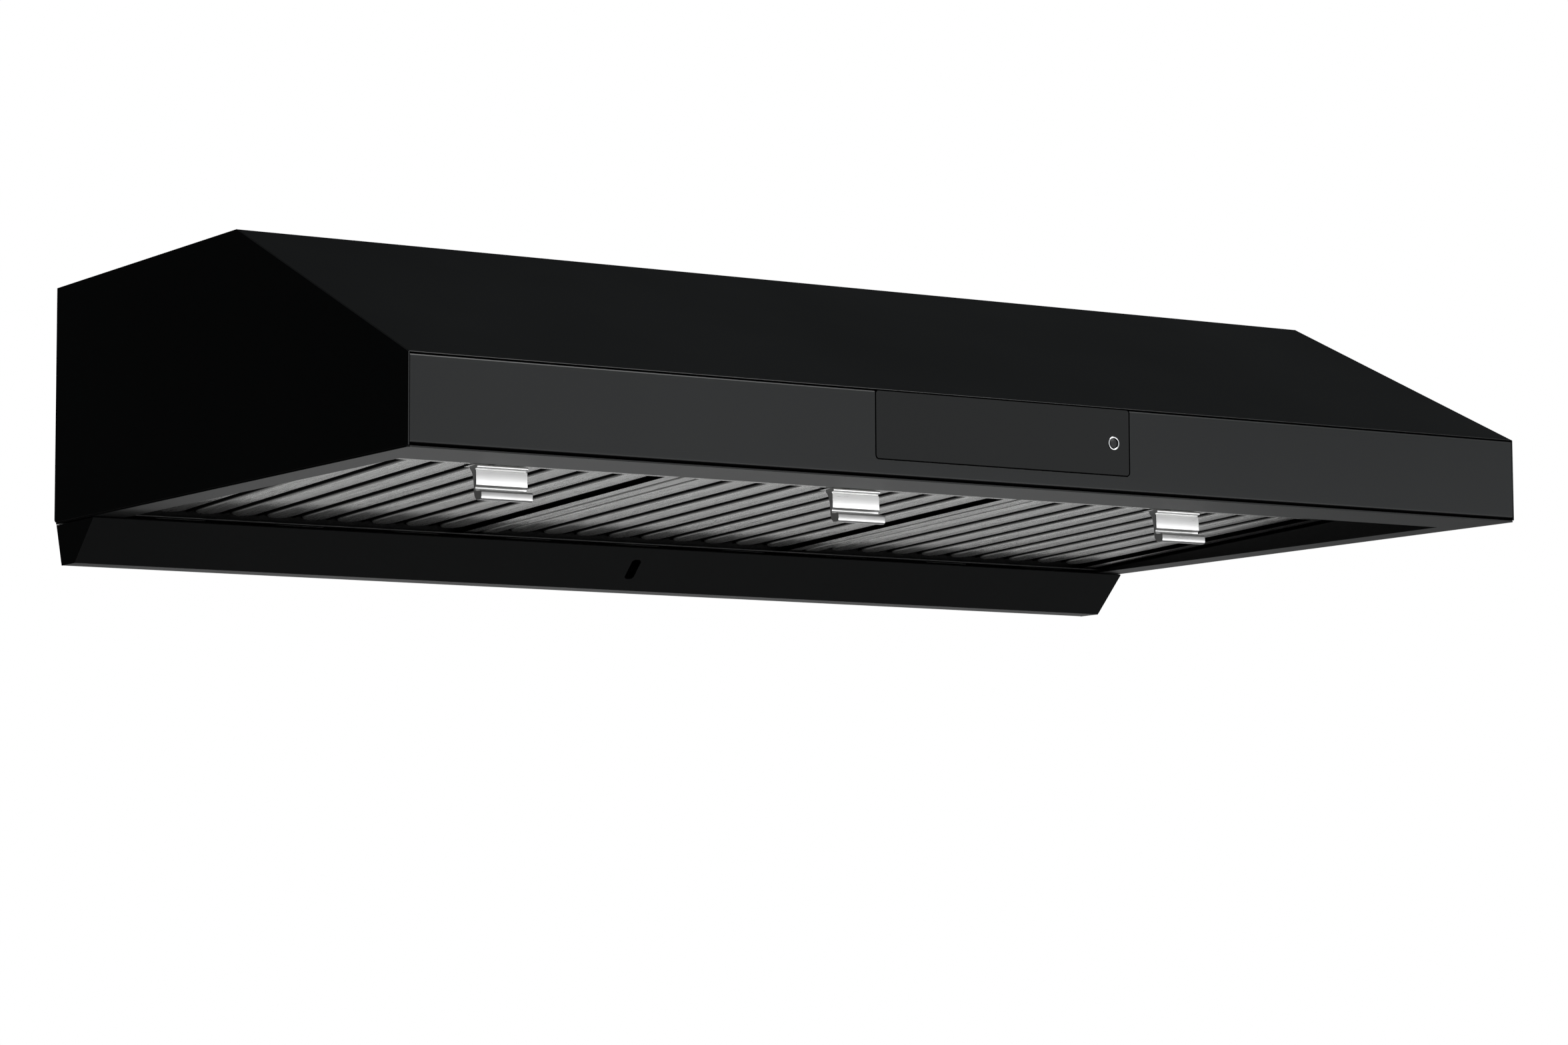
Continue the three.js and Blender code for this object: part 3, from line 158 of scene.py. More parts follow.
class Shader:
    def __init__(self, tree):
        self.tree = tree
        tree.nodes.clear()

    def plug(self, socket, value):
        if isinstance(value, Wire):
            self.tree.links.new(value.socket, socket)
        elif isinstance(value, (tuple, list)) and socket.type == "RGBA" and len(value) == 3:
            socket.default_value = (*value, 1)
        else:
            socket.default_value = value

    def add(self, kind, settings=None, inputs=None, output=0):
        node = self.tree.nodes.new(kind)
        for key, value in (settings or {}).items():
            setattr(node, key, value)
        for key, value in (inputs or {}).items():
            self.plug(node.inputs[key], value)
        return Wire(self, node.outputs[output])

    # inputs 6 and 7 and output 2 are the colours of a Mix node
    def tint(self, share, first, second):
        return self.add("ShaderNodeMix", dict(data_type="RGBA"), {0: share, 6: first, 7: second}, 2)

    def where(self, scale=(1, 1, 1), turn=(0, 0, 0)):
        spot = self.add("ShaderNodeTexCoord", {}, {}, "Object")
        return self.add("ShaderNodeMapping", {}, {"Vector": spot, "Scale": scale, "Rotation": turn})

    def cloud(self, scale, detail=2.0, stretch=(1, 1, 1), rough=0.5, turn=(0, 0, 0)):
        inputs = {"Vector": self.where(stretch, turn), "Scale": scale, "Detail": detail, "Roughness": rough}
        return self.add("ShaderNodeTexNoise", {}, inputs)

    def bump(self, height, strength, distance, under=None):
        inputs = {"Height": height, "Strength": strength, "Distance": distance}
        if under is not None:
            inputs["Normal"] = under
        return self.add("ShaderNodeBump", {}, inputs)

    def surface(self, **values):
        node = self.tree.nodes.new("ShaderNodeBsdfPrincipled")
        for key, value in values.items():
            self.plug(node.inputs[surfaceInputs[key]], value)
        return Wire(self, node.outputs[0])

    def finish(self, surface):
        output = self.tree.nodes.new("ShaderNodeOutputMaterial")
        self.tree.links.new(surface.socket, output.inputs["Surface"])


def newMaterial(name):
    material = bpy.data.materials.new(name)
    material.use_nodes = True
    return material, Shader(material.node_tree)


# finishes

coat = dict(
    colour=(0.0093, 0.0101, 0.0106),
    worn=(0.0115, 0.0124, 0.0129),
    roughness=0.33,
    haze=3.5,
    hazeRough=0.05,
    grain=900.0,
    grainRough=0.03,
    grainHeight=0.000012,
    ripple=60,
    rippleHeight=0.00006,
    ior=1.45,
)


def satinCoat(name, facts):
    material, shader = newMaterial(name)
    haze = shader.cloud(facts["haze"], 3, rough=0.6)
    grain = shader.cloud(facts["grain"], 2)
    ripple = shader.cloud(facts["ripple"], 2)
    colour = shader.tint(haze.spread(0.3, 0.75), facts["colour"], facts["worn"])
    roughness = facts["roughness"] + haze * facts["hazeRough"] + grain * facts["grainRough"]
    fine = shader.bump(grain, 0.25, facts["grainHeight"])
    normal = shader.bump(ripple, 0.12, facts["rippleHeight"], fine)
    body = shader.surface(colour=colour, roughness=roughness, normal=normal, specular=0.5, ior=facts["ior"])
    shader.finish(body)
    return material


glass = dict(
    colour=(0.0055, 0.0055, 0.0056),
    dusty=(0.009, 0.009, 0.0092),
    roughness=0.07,
    dust=240,
    dustRough=0.03,
    wipe=14,
    wipeRough=0.03,
)


def smokedGlass(name, facts):
    material, shader = newMaterial(name)
    dust = shader.cloud(facts["dust"], 3, rough=0.7)
    wipe = shader.cloud(facts["wipe"], 2, stretch=(1, 1, 5), turn=(0, 0.5, 0))
    dulled = dust.spread(0.55, 0.8) * facts["dustRough"] + wipe * facts["wipeRough"]
    roughness = facts["roughness"] + dulled
    colour = shader.tint(dust.spread(0.6, 0.85), facts["colour"], facts["dusty"])
    shader.finish(shader.surface(colour=colour, roughness=roughness, specular=0.5, ior=1.5))
    return material


steel = dict(
    colour=(0.70, 0.695, 0.68),
    dark=(0.50, 0.50, 0.495),
    light=(0.82, 0.82, 0.81),
    roughness=0.17,
    strokes=(1300, 5, 1300),
    strokeDepth=0.00008,
    strokeRough=0.14,
    bands=(220, 5, 220),
    bandDepth=0.00035,
    blotch=16,
    blotchRough=0.08,
    # painted shade: the colour and the added roughness of faces that look into the filter
    inside=(0.022, 0.022, 0.022),
    insideRough=0.25,
)


# sheet steel with its brushing along y; faces marked inner get a near black, rougher colour, painted shade for
# where light does not reach inside the filter
def brushedSteel(name, facts):
    material, shader = newMaterial(name)
    stroke = shader.cloud(1.0, 3, stretch=facts["strokes"], rough=0.65)
    band = shader.cloud(1.0, 2, stretch=facts["bands"], rough=0.6)
    blotch = shader.cloud(facts["blotch"], 3, stretch=(1, 0.6, 1), rough=0.6)
    tone = shader.tint(stroke.spread(0.25, 0.75), facts["dark"], facts["light"])
    colour = shader.tint(0.5 - band.spread(0.3, 0.7) * 0.2, tone, facts["colour"])
    colour = shader.tint(blotch.spread(0.45, 0.8) * 0.35, colour, facts["dark"])
    # painted shade: the inner attribute blends in a near black colour on faces that look into the filter, where
    # shade falls
    inner = shader.add("ShaderNodeAttribute", dict(attribute_name="inner"), {}, "Fac")
    colour = shader.tint(inner, colour, facts["inside"])
    roughness = facts["roughness"] + stroke * facts["strokeRough"] + blotch * facts["blotchRough"]
    roughness = roughness + inner * facts["insideRough"]
    normal = shader.bump(stroke, 1.0, facts["strokeDepth"], shader.bump(band, 1.0, facts["bandDepth"]))
    shader.finish(shader.surface(colour=colour, metallic=1.0, roughness=roughness, normal=normal))
    return material


pull = dict(
    colour=(0.90, 0.90, 0.895),
    dark=(0.78, 0.78, 0.78),
    roughness=0.23,
    lines=(18, 1800, 1800),
    lineDepth=0.000015,
    lineRough=0.08,
    blotch=55,
    blotchRough=0.05,
)


# drawn aluminium with die lines along x
def drawnAluminium(name, facts):
    material, shader = newMaterial(name)
    line = shader.cloud(1.0, 2, stretch=facts["lines"], rough=0.6)
    blotch = shader.cloud(facts["blotch"], 2)
    colour = shader.tint(line.spread(0.3, 0.7) * 0.5, facts["colour"], facts["dark"])
    roughness = facts["roughness"] + line * facts["lineRough"] + blotch * facts["blotchRough"]
    normal = shader.bump(line, 1.0, facts["lineDepth"])
    shader.finish(shader.surface(colour=colour, metallic=1.0, roughness=roughness, normal=normal))
    return material


# hot dipped sheet with its spangle
def spangledZinc(name, tone, cell):
    material, shader = newMaterial(name)
    settings = dict(feature="F1", voronoi_dimensions="3D")
    flake = shader.add("ShaderNodeTexVoronoi", settings, {"Vector": shader.where(), "Scale": cell}, "Color")
    shade = shader.add("ShaderNodeSeparateColor", {}, {"Color": flake})
    fog = shader.cloud(cell * 6, 3)
    dull = tuple(value * 0.72 for value in tone)
    colour = shader.tint(shade.spread(0, 1, smooth=False) * 0.8 + fog * 0.2, dull, tone)
    roughness = 0.36 + shade.other("Green") * 0.14 + fog * 0.06
    normal = shader.bump(fog, 0.15, 0.00004)
    shader.finish(shader.surface(colour=colour, metallic=1.0, roughness=roughness, normal=normal))
    return material


# plated or turned steel
def platedSteel(name, tone, roughness, grain=500.0):
    material, shader = newMaterial(name)
    fine = shader.cloud(grain, 3, rough=0.6)
    blotch = shader.cloud(40, 2)
    dull = tuple(value * 0.8 for value in tone)
    colour = shader.tint(blotch.spread(0.35, 0.7), tone, dull)
    rough = roughness + fine * 0.06 + blotch * 0.05
    normal = shader.bump(fine, 0.1, 0.00002)
    shader.finish(shader.surface(colour=colour, metallic=1.0, roughness=rough, normal=normal))
    return material


plastic = dict(
    colour=(0.014, 0.014, 0.015),
    pale=1.25,
    roughness=0.42,
    grain=1400.0,
    grainRough=0.05,
    grainHeight=0.00003,
    blotch=30,
    ior=1.46,
)


# moulded plastic with a spark eroded grain
def mouldedPlastic(name, facts):
    material, shader = newMaterial(name)
    fine = shader.cloud(facts["grain"], 2)
    blotch = shader.cloud(facts["blotch"], 2)
    pale = tuple(min(1.0, value * facts["pale"]) for value in facts["colour"])
    colour = shader.tint(blotch.spread(0.3, 0.8) * 0.5, facts["colour"], pale)
    normal = shader.bump(fine, 0.3, facts["grainHeight"])
    rough = facts["roughness"] + fine * facts["grainRough"]
    body = shader.surface(colour=colour, roughness=rough, normal=normal, specular=0.5, ior=facts["ior"])
    shader.finish(body)
    return material


board = dict(
    mask=(0.010, 0.085, 0.035),
    pale=(0.014, 0.105, 0.045),
    run=(0.035, 0.19, 0.075),
    scale=160.0,
    runWidth=0.022,
    runHeight=0.00004,
)


# solder mask over copper runs
def circuitBoard(name, facts):
    material, shader = newMaterial(name)
    settings = dict(offset=0.37, offset_frequency=3, squash=1.6, squash_frequency=2)
    spot = shader.where((1, 1, 1), (math.pi / 2, 0, 0))
    inputs = {"Vector": spot, "Scale": facts["scale"], "Mortar Size": facts["runWidth"]}
    runs = shader.add("ShaderNodeTexBrick", settings, inputs, "Fac")
    fog = shader.cloud(90, 2)
    base = shader.tint(fog.spread(0.3, 0.7), facts["mask"], facts["pale"])
    colour = shader.tint(runs * 0.7, base, facts["run"])
    normal = shader.bump(runs, 0.4, facts["runHeight"])
    shader.finish(shader.surface(colour=colour, roughness=0.34 + fog * 0.08, normal=normal))
    return material


lens = dict(
    colour=(0.80, 0.79, 0.76),
    pale=(0.86, 0.855, 0.83),
    roughness=0.28,
    fogRough=0.08,
    prisms=700.0,
    prismHeight=0.0003,
)


# pressed lens with fine prisms
def frostedLens(name, facts):
    material, shader = newMaterial(name)
    settings = dict(feature="F1", voronoi_dimensions="3D")
    inputs = {"Vector": shader.where(), "Scale": facts["prisms"]}
    prism = shader.add("ShaderNodeTexVoronoi", settings, inputs)
    fog = shader.cloud(60, 2)
    colour = shader.tint(fog.spread(0.2, 0.8), facts["colour"], facts["pale"])
    normal = shader.bump(prism, 0.5, facts["prismHeight"])
    rough = facts["roughness"] + fog * facts["fogRough"]
    body = shader.surface(colour=colour, roughness=rough, normal=normal, subsurface=0.1, specular=0.5)
    shader.finish(body)
    return material


finishes = dict(
    black_coat=satinCoat("satin_black_coat", coat),
    black_glass=smokedGlass("smoked_black_glass", glass),
    stainless=brushedSteel("brushed_steel", steel),
    aluminium=drawnAluminium("drawn_aluminium", pull),
    galvanised=spangledZinc("spangled_zinc", (0.50, 0.51, 0.52), 130.0),
    zinc_steel=platedSteel("zinc_plate", (0.56, 0.57, 0.58), 0.30),
    chrome_trim=platedSteel("bright_trim", (0.92, 0.92, 0.93), 0.09, 900.0),
    black_plastic=mouldedPlastic("moulded_black", plastic),
    board_green=circuitBoard("board_mask", board),
    frosted_lens=frostedLens("pressed_lens", lens),
)
nodeSlots = {part["node"]: part["material_slot"] for part in frame["record"]["subparts"]}
bodyOf = {node: body for body, nodes in frame["record"]["behaviour"]["bodies"].items() for node in nodes}
for node, obj in frame["nodes"].items():
    obj.data.materials.clear()
    obj.data.materials.append(finishes[nodeSlots[node]])
print("finishes made:", len(finishes))


# pieces in mesh code

def finishPiece(obj, node):
    slot = nodeSlots[node]
    if not obj.data.materials:
        obj.data.materials.append(finishes[slot])
    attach(obj, bodyOf[node])
    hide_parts(node)
    return obj


def newObject(name, mesh):
    obj = bpy.data.objects.new(name, mesh)
    scene.collection.objects.link(obj)
    return obj


def smoothMesh(mesh, angle):
    mesh.shade_smooth()
    mesh.set_sharp_from_angle(angle=math.radians(angle))


def meshFrom(name, shape, smoothAngle=None):
    mesh = bpy.data.meshes.new(name)
    shape.to_mesh(mesh)
    shape.free()
    if smoothAngle is not None:
        smoothMesh(mesh, smoothAngle)
    return mesh


merge = dict(distance=0.004 * mm, smoothAngle=40)
ease = dict(width=0.28 * mm, angle=28, segments=2)
filterEase = dict(width=0.3 * mm, angle=30, segments=2)
wideEase = dict(control_glass=0.55 * mm, wrap_panel=0.4 * mm)


def mergedCopy(node):
    shape = bmesh.new()
    shape.from_mesh(frame["nodes"][node].data)
    bmesh.ops.remove_doubles(shape, verts=shape.verts, dist=merge["distance"])
    return newObject(node + "_eased", meshFrom(node + "_eased", shape, merge["smoothAngle"]))


# broken edges, as folded and cut sheet has them
def breakEdges(obj, facts):
    bevel = obj.modifiers.new("broken edges", "BEVEL")
    bevel.width = facts["width"]
    bevel.segments = facts["segments"]
    bevel.limit_method = "ANGLE"
    bevel.angle_limit = math.radians(facts["angle"])
    bevel.use_clamp_overlap = True
    even = obj.modifiers.new("even faces", "WEIGHTED_NORMAL")
    even.mode = "FACE_AREA"
    even.weight = 100
    even.keep_sharp = True


def easedCopy(node, facts):
    obj = mergedCopy(node)
    breakEdges(obj, facts)
    return finishPiece(obj, node)


# the modifiers' result as a plain mesh on the same object
def settle(obj):
    ready = obj.evaluated_get(bpy.context.evaluated_depsgraph_get())
    mesh = bpy.data.meshes.new_from_object(ready)
    obj.modifiers.clear()
    obj.data = mesh
    return obj


def blockMesh(name, low, high, place=Matrix()):
    shape = bmesh.new()
    corners = [(x, y, z) for z in (low[2], high[2]) for y in (low[1], high[1]) for x in (low[0], high[0])]
    verts = [shape.verts.new(place @ Vector(corner)) for corner in corners]
    for face in ((0, 2, 3, 1), (4, 5, 7, 6), (0, 1, 5, 4), (2, 6, 7, 3), (0, 4, 6, 2), (1, 3, 7, 5)):
        shape.faces.new([verts[i] for i in face])
    return meshFrom(name, shape)


def carve(obj, cutterMesh):
    cutter = newObject("cutter", cutterMesh)
    cut = obj.modifiers.new("cut", "BOOLEAN")
    cut.operation = "DIFFERENCE"
    cut.solver = "EXACT"
    cut.object = cutter
    settle(obj)
    bpy.data.objects.remove(cutter)
    return obj


shellNodes = [
    "wrap_panel", "fascia_panel", "left_side_panel", "right_side_panel", "underside_rim", "lamp_panel",
    "rear_panel", "rear_filter_rail", "control_glass", "grease_tray", "tray_clip_strip", "duct_collar",
    "damper_flap", "outlet_box", "junction_box", "junction_cover", "power_module", "control_housing",
    "control_board", "left_scroll_housing", "right_scroll_housing",
]
for node in shellNodes:
    easedCopy(node, dict(ease, width=wideEase.get(node, ease["width"])))
print("shell eased:", len(shellNodes), "panels")


# filters: everything is drawn in the filter's own frame, from its pivot, y to the rear

def filterFrameOf(word):
    pivot = Vector(joints[word + "_filter_tilt"]["pos_m"])
    along = Vector(joints[word + "_latch_pull"]["axis"]).normalized()
    across = Vector((1, 0, 0))
    up = across.cross(along)
    turn = Matrix((across, along, up)).transposed()
    return Matrix.Translation(pivot) @ turn.to_4x4()


def localBox(node, place):
    back = place.inverted()
    points = [back @ vertex.co for vertex in frame["nodes"][node].data.vertices]
    low = Vector([min(point[i] for point in points) for i in range(3)])
    high = Vector([max(point[i] for point in points) for i in range(3)])
    return low, high


# points of an arc about a centre, angles in degrees
def arc(centre, radius, start, end, steps):
    angles = [math.radians(start + (end - start) * i / steps) for i in range(steps + 1)]
    return [(centre[0] + radius * math.cos(a), centre[1] + radius * math.sin(a)) for a in angles]


mitreLimit = 0.4  # keeps a sharp bend from running out into a spike


# closed outline of a bent strip: the given line is its outer face, the thickness lies to the left
def stripOutline(line, thickness):
    inner = []
    for i, point in enumerate(line):
        before = (line[i] - line[i - 1]).normalized() if i > 0 else None
        after = (line[i + 1] - line[i]).normalized() if i < len(line) - 1 else None
        mean = ((before or after) + (after or before)).normalized()
        left = Vector((-mean.y, mean.x))
        inner.append(point + left * thickness / max(mitreLimit, mean.dot(after or before)))
    return list(line) + inner[::-1]


# outer line of a channel whose web is crowned and whose legs rise at both sides
def channelLine(half, depth, radius, steps, crown):
    flat = half - radius
    line = [Vector((flat * i / steps, crown * (i / steps) ** 2)) for i in range(steps)]
    line += [Vector(point) for point in arc((flat, radius + crown), radius, -90, 0, steps)]
    line.append(Vector((half, depth)))
    full = [Vector((-point.x, point.y)) for point in reversed(line)] + line
    clean = [full[0]]
    for point in full[1:]:
        if (point - clean[-1]).length > 0.0001 * mm:
            clean.append(point)
    return clean


# a skin through rings of equal length, with both ends closed
def loft(rings):
    shape = bmesh.new()
    rows = [[shape.verts.new(point) for point in ring] for ring in rings]
    count = len(rows[0])
    for first, second in zip(rows, rows[1:]):
        for i in range(count):
            j = (i + 1) % count
            shape.faces.new((first[i], first[j], second[j], second[i]))
    shape.faces.new(list(reversed(rows[0])))
    shape.faces.new(rows[-1])
    bmesh.ops.recalc_face_normals(shape, faces=shape.faces)
    return shape


slat = dict(
    frontCount=9,
    backCount=10,
    sheet=0.8 * mm,
    radius=2.2 * mm,
    crown=0.2 * mm,
    depth=5.0 * mm,
    width=20.8 * mm,
    arcSteps=6,
    tongue=15 * mm,
    tongueSteps=8,
    tongueEnd=0.22,
    tonguePower=2.4,
    radiusLimit=0.8,  # largest share of a slat's half width that its rounding may take
    smoothAngle=50,
)


# one channel slat from y0 to y1, its web at z, with its legs upwards or downwards
def slatMesh(name, y0, y1, z, up, facts, tongue):
    half = facts["width"] / 2
    rings = []
    stations = [(y0, 1.0)]
    if tongue:
        start = y1 - facts["tongue"]
        for i in range(facts["tongueSteps"] + 1):
            share = i / facts["tongueSteps"]
            bow = math.sqrt(max(0.0, 1 - share ** facts["tonguePower"]))
            narrow = facts["tongueEnd"] + (1 - facts["tongueEnd"]) * bow
            stations.append((start + facts["tongue"] * share, narrow))
    else:
        stations.append((y1, 1.0))
    for y, narrow in stations:
        radius = min(facts["radius"], half * narrow * facts["radiusLimit"])
        crown = facts["crown"] * narrow ** 2
        line = channelLine(half * narrow, facts["depth"], radius, facts["arcSteps"], crown)
        outline = stripOutline(line, facts["sheet"])
        rings.append([Vector((point.x * up, y, z + up * point.y)) for point in outline])
    return meshFrom(name, loft(rings), facts["smoothAngle"])


# geometry nodes: a tree with named inputs, read by the modifier through the sockets' identifiers

class Grower:
    def __init__(self, name, inputs):
        self.tree = bpy.data.node_groups.new(name, "GeometryNodeTree")
        face = self.tree.interface
        face.new_socket(name="Geometry", in_out="INPUT", socket_type="NodeSocketGeometry")
        self.names = {}
        for label, kind in inputs.items():
            socket = face.new_socket(name=label, in_out="INPUT", socket_type="NodeSocket" + kind)
            self.names[label] = socket.identifier
        face.new_socket(name="Geometry", in_out="OUTPUT", socket_type="NodeSocketGeometry")
        self.entry = self.tree.nodes.new("NodeGroupInput")

    def add(self, kind, settings=None, inputs=None, output=0):
        node = self.tree.nodes.new(kind)
        for key, value in (settings or {}).items():
            setattr(node, key, value)
        for key, value in (inputs or {}).items():
            if isinstance(value, bpy.types.NodeSocket):
                self.tree.links.new(value, node.inputs[key])
            else:
                node.inputs[key].default_value = value
        return node.outputs[output]

    def given(self, label):
        return self.entry.outputs[label]

    def close(self, instances, material):
        real = self.add("GeometryNodeRealizeInstances", {}, {0: instances})
        painted = self.add("GeometryNodeSetMaterial", {}, {0: real, "Material": material})
        end = self.tree.nodes.new("NodeGroupOutput")
        self.tree.links.new(painted, end.inputs[0])


def grow(obj, grower, values):
    modifier = obj.modifiers.new("grown", "NODES")
    modifier.node_group = grower.tree
    for label, value in values.items():
        modifier[grower.names[label]] = value
    return settle(obj)


def rowGrower(name, material):
    grower = Grower(name, {"Count": "Int", "Pitch": "Float", "Start": "Float"})
    step = grower.add("ShaderNodeCombineXYZ", {}, {"X": grower.given("Pitch")})
    start = grower.add("ShaderNodeCombineXYZ", {}, {"X": grower.given("Start")})
    inputs = {"Count": grower.given("Count"), "Start Location": start, "Offset": step}
    points = grower.add("GeometryNodeMeshLine", dict(mode="OFFSET"), inputs)
    inputs = {"Points": points, "Instance": grower.given("Geometry")}
    grower.close(grower.add("GeometryNodeInstanceOnPoints", {}, inputs), material)
    return grower


slatGrower = rowGrower("slat row", finishes["stainless"])


# marks how far each face looks into the filter, from its centre and normal in the filter's frame, as the share of
# painted shade the steel puts on it
def markPaintedShade(mesh, share):
    marks = mesh.attributes.new("inner", "FLOAT", "FACE")
    for item, face in zip(marks.data, mesh.polygons):
        item.value = share(face.center, face.normal)


inward = dict(start=-0.80, span=0.30)


# 0 for a face that looks out of the filter, 1 for one that looks to the side or in
def turnedIn(normal):
    return max(0.0, min(1.0, (normal.z - inward["start"]) / inward["span"]))


def slatRow(word, row, up, count, facts):
    place = filterFrameOf(word)
    node = f"{word}_filter_{row}_baffles"
    low, high = localBox(node, place)
    pitch = (high.x - low.x - facts["width"]) / (count - 1)
    z = low.z if up > 0 else high.z
    mesh = slatMesh(node + "_slats", low.y, high.y, z, up, facts, up > 0)
    obj = newObject(node + "_slats", mesh)
    values = {"Count": count, "Pitch": pitch, "Start": -pitch * (count - 1) / 2}
    grow(obj, slatGrower, values)
    # painted shade on the slats: the faces turned into the filter, which are the legs, the front row's upper webs
    # and the back row's lower webs, are darkened
    markPaintedShade(obj.data, lambda spot, normal: turnedIn(normal * up))
    obj.data.transform(place)
    return finishPiece(obj, node)


frameSheet = dict(
    sideBand=11.5 * mm,
    rearBand=22 * mm,
    rearLip=3 * mm,
    sheet=0.8 * mm,
    cutOver=1 * mm,
    cutRise=4 * mm,
    edgeShare=0.7,  # depth of the outer faces, as a share of the sheet
)


# the lower face stays open as far as a narrow lip at the rear, so the slats' ends show
def filterFrame(word, facts):
    node = word + "_filter_frame"
    place = filterFrameOf(word)
    low, high = localBox(node, place)
    over = facts["cutOver"]
    start = (low.x + facts["sideBand"], high.y - facts["rearBand"] - over, low.z - over)
    end = (high.x - facts["sideBand"], high.y - facts["rearLip"], low.z + facts["cutRise"])
    obj = carve(mergedCopy(node), blockMesh("opening", start, end, place))
    edge = facts["sheet"] * facts["edgeShare"]
    back = place.inverted()

    # painted shade on the frame: faces inside its channel that look into the filter are darkened, its outer faces
    # and edges are not
    def share(spot, normal):
        spot, normal = back @ spot, back.to_3x3() @ normal
        clear = min(spot.x - low.x, high.x - spot.x, spot.y - low.y, high.y - spot.y, high.z - spot.z)
        return turnedIn(normal) if clear > edge else 0.0

    markPaintedShade(obj.data, share)
    smoothMesh(obj.data, merge["smoothAngle"])
    breakEdges(obj, filterEase)
    return finishPiece(obj, node)


for word in filterWords:
    slatRow(word, "front", 1, slat["frontCount"], slat)
    slatRow(word, "back", -1, slat["backCount"], slat)
    filterFrame(word, frameSheet)
    easedCopy(word + "_filter_latch_bar", filterEase)
print("filters made:", len(filterWords))


# handles: an extruded pull, drawn as its section in the filter's y and z
# the section is in millimetres from the face line and the foot's top, each bend as its control and its end

handle = dict(
    endEase=0.35 * mm,
    endAngle=50,
    smoothAngle=30,
    arcSteps=10,
    foot=(8.5, 0),
    beadPlace=-0.4,
    beadRadius=1.3,
    face=[(0.9, -2.6), (0.9, -3.5), (0, -3.7), (0, -13.6)],
    bends=[
        ((0.1, -14.0), (0.5, -14.2)),
        ((1.9, -15.4), (1.5, -17.0)),
        ((0.6, -18.6), (-5.6, -18.2)),
        ((-6.7, -18.3), (-6.8, -19.6)),
        ((-6.9, -22.0), (-6.7, -23.4)),
        ((-6.4, -24.7), (-4.9, -24.75)),
        ((-2.8, -24.8), (-0.6, -24.4)),
        ((3.4, -22.6), (3.4, -17.2)),
    ],
    back=(3.6, -13),
    web=((4.2, -4.5), (8.5, -2)),
)


def bezier(start, control, end, steps):
    return [
        start * (1 - t) ** 2 + control * 2 * t * (1 - t) + end * t ** 2
        for t in (i / steps for i in range(1, steps + 1))
    ]


def handleOutline(facts):
    steps = facts["arcSteps"]
    place, radius = facts["beadPlace"], facts["beadRadius"]
    points = [Vector(facts["foot"]), Vector((place, 0))]
    for i in range(1, steps + 1):
        angle = math.pi / 2 + math.pi * i / steps
        points.append(Vector((place + radius * math.cos(angle), -radius + radius * math.sin(angle))))
    points += [Vector(point) for point in facts["face"]]
    for control, end in facts["bends"]:
        points += bezier(points[-1], Vector(control), Vector(end), steps)
    points.append(Vector(facts["back"]))
    control, end = facts["web"]
    points += bezier(points[-1], Vector(control), Vector(end), steps)
    return points


def pullHandle(word, facts):
    place = filterFrameOf(word)
    node = word + "_filter_handle"
    low, high = localBox(node, place)
    outline = handleOutline(facts)
    rear = max(point.x for point in outline)
    rings = []
    for x in (low.x, high.x):
        rings.append([Vector((x, high.y + (p.x - rear) * mm, high.z + p.y * mm)) for p in outline])
    obj = newObject(node + "_pull", meshFrom(node + "_pull", loft(rings), facts["smoothAngle"]))
    obj.data.transform(place)
    bevel = obj.modifiers.new("ends", "BEVEL")
    bevel.width = facts["endEase"]
    bevel.segments = 2
    bevel.limit_method = "ANGLE"
    bevel.angle_limit = math.radians(facts["endAngle"])
    bevel.harden_normals = True
    return finishPiece(obj, node)


pulls = [pullHandle(word, handle) for word in filterWords]
print("handles made")


# lamps, button and blower: turned pieces

turned = dict(weld=0.0005 * mm, smoothAngle=35)


# a closed profile of (radius, height) turned about an axis through centre
def turnedMesh(name, profile, centre, axis, sides):
    shape = bmesh.new()
    turn = Vector((0, 0, 1)).rotation_difference(Vector(axis)).to_matrix()
    rings = []
    for i in range(sides):
        angle = 2 * math.pi * i / sides
        ring = []
        for radius, height in profile:
            flat = Vector((radius * math.cos(angle), radius * math.sin(angle), height))
            ring.append(shape.verts.new(Vector(centre) + turn @ flat))
        rings.append(ring)
    count = len(profile)
    for i in range(sides):
        first, second = rings[i], rings[(i + 1) % sides]
        for j in range(count):
            k = (j + 1) % count
            corners = [first[j], first[k], second[k], second[j]]
            shape.faces.new(corners)
    bmesh.ops.remove_doubles(shape, verts=shape.verts, dist=turned["weld"])
    bmesh.ops.dissolve_degenerate(shape, dist=turned["weld"], edges=shape.edges)
    bmesh.ops.recalc_face_normals(shape, faces=shape.faces)
    return meshFrom(name, shape, turned["smoothAngle"])


def middle(node):
    low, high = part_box(node)
    return (low + high) / 2


button = dict(
    sides=64,
    ringWidth=1.15 * mm,
    ringFoot=0.45,  # height at which its rounding starts, as a share
    capDome=0.6 * mm,
    capEase=0.15 * mm,
    capTaper=0.97,
    steps=10,
)


def buttonRing(facts):
    low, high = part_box("button_ring")
    spot = middle("button_ring")
    outer = (high.x - low.x) / 2
    face = high.y
    proud = high.y - low.y
    width = facts["ringWidth"]
    foot = facts["ringFoot"]
    ridge = []
    for i in range(facts["steps"] + 1):
        angle = math.pi * i / facts["steps"]
        radius = outer - width / 2 + width / 2 * math.cos(angle)
        ridge.append((radius, proud * (foot + (1 - foot) * math.sin(angle))))
    profile = [(outer - width, 0), (outer, 0)] + ridge
    mesh = turnedMesh("button_ring_bezel", profile, (spot.x, face, spot.z), (0, -1, 0), facts["sides"])
    return finishPiece(newObject("button_ring_bezel", mesh), "button_ring")


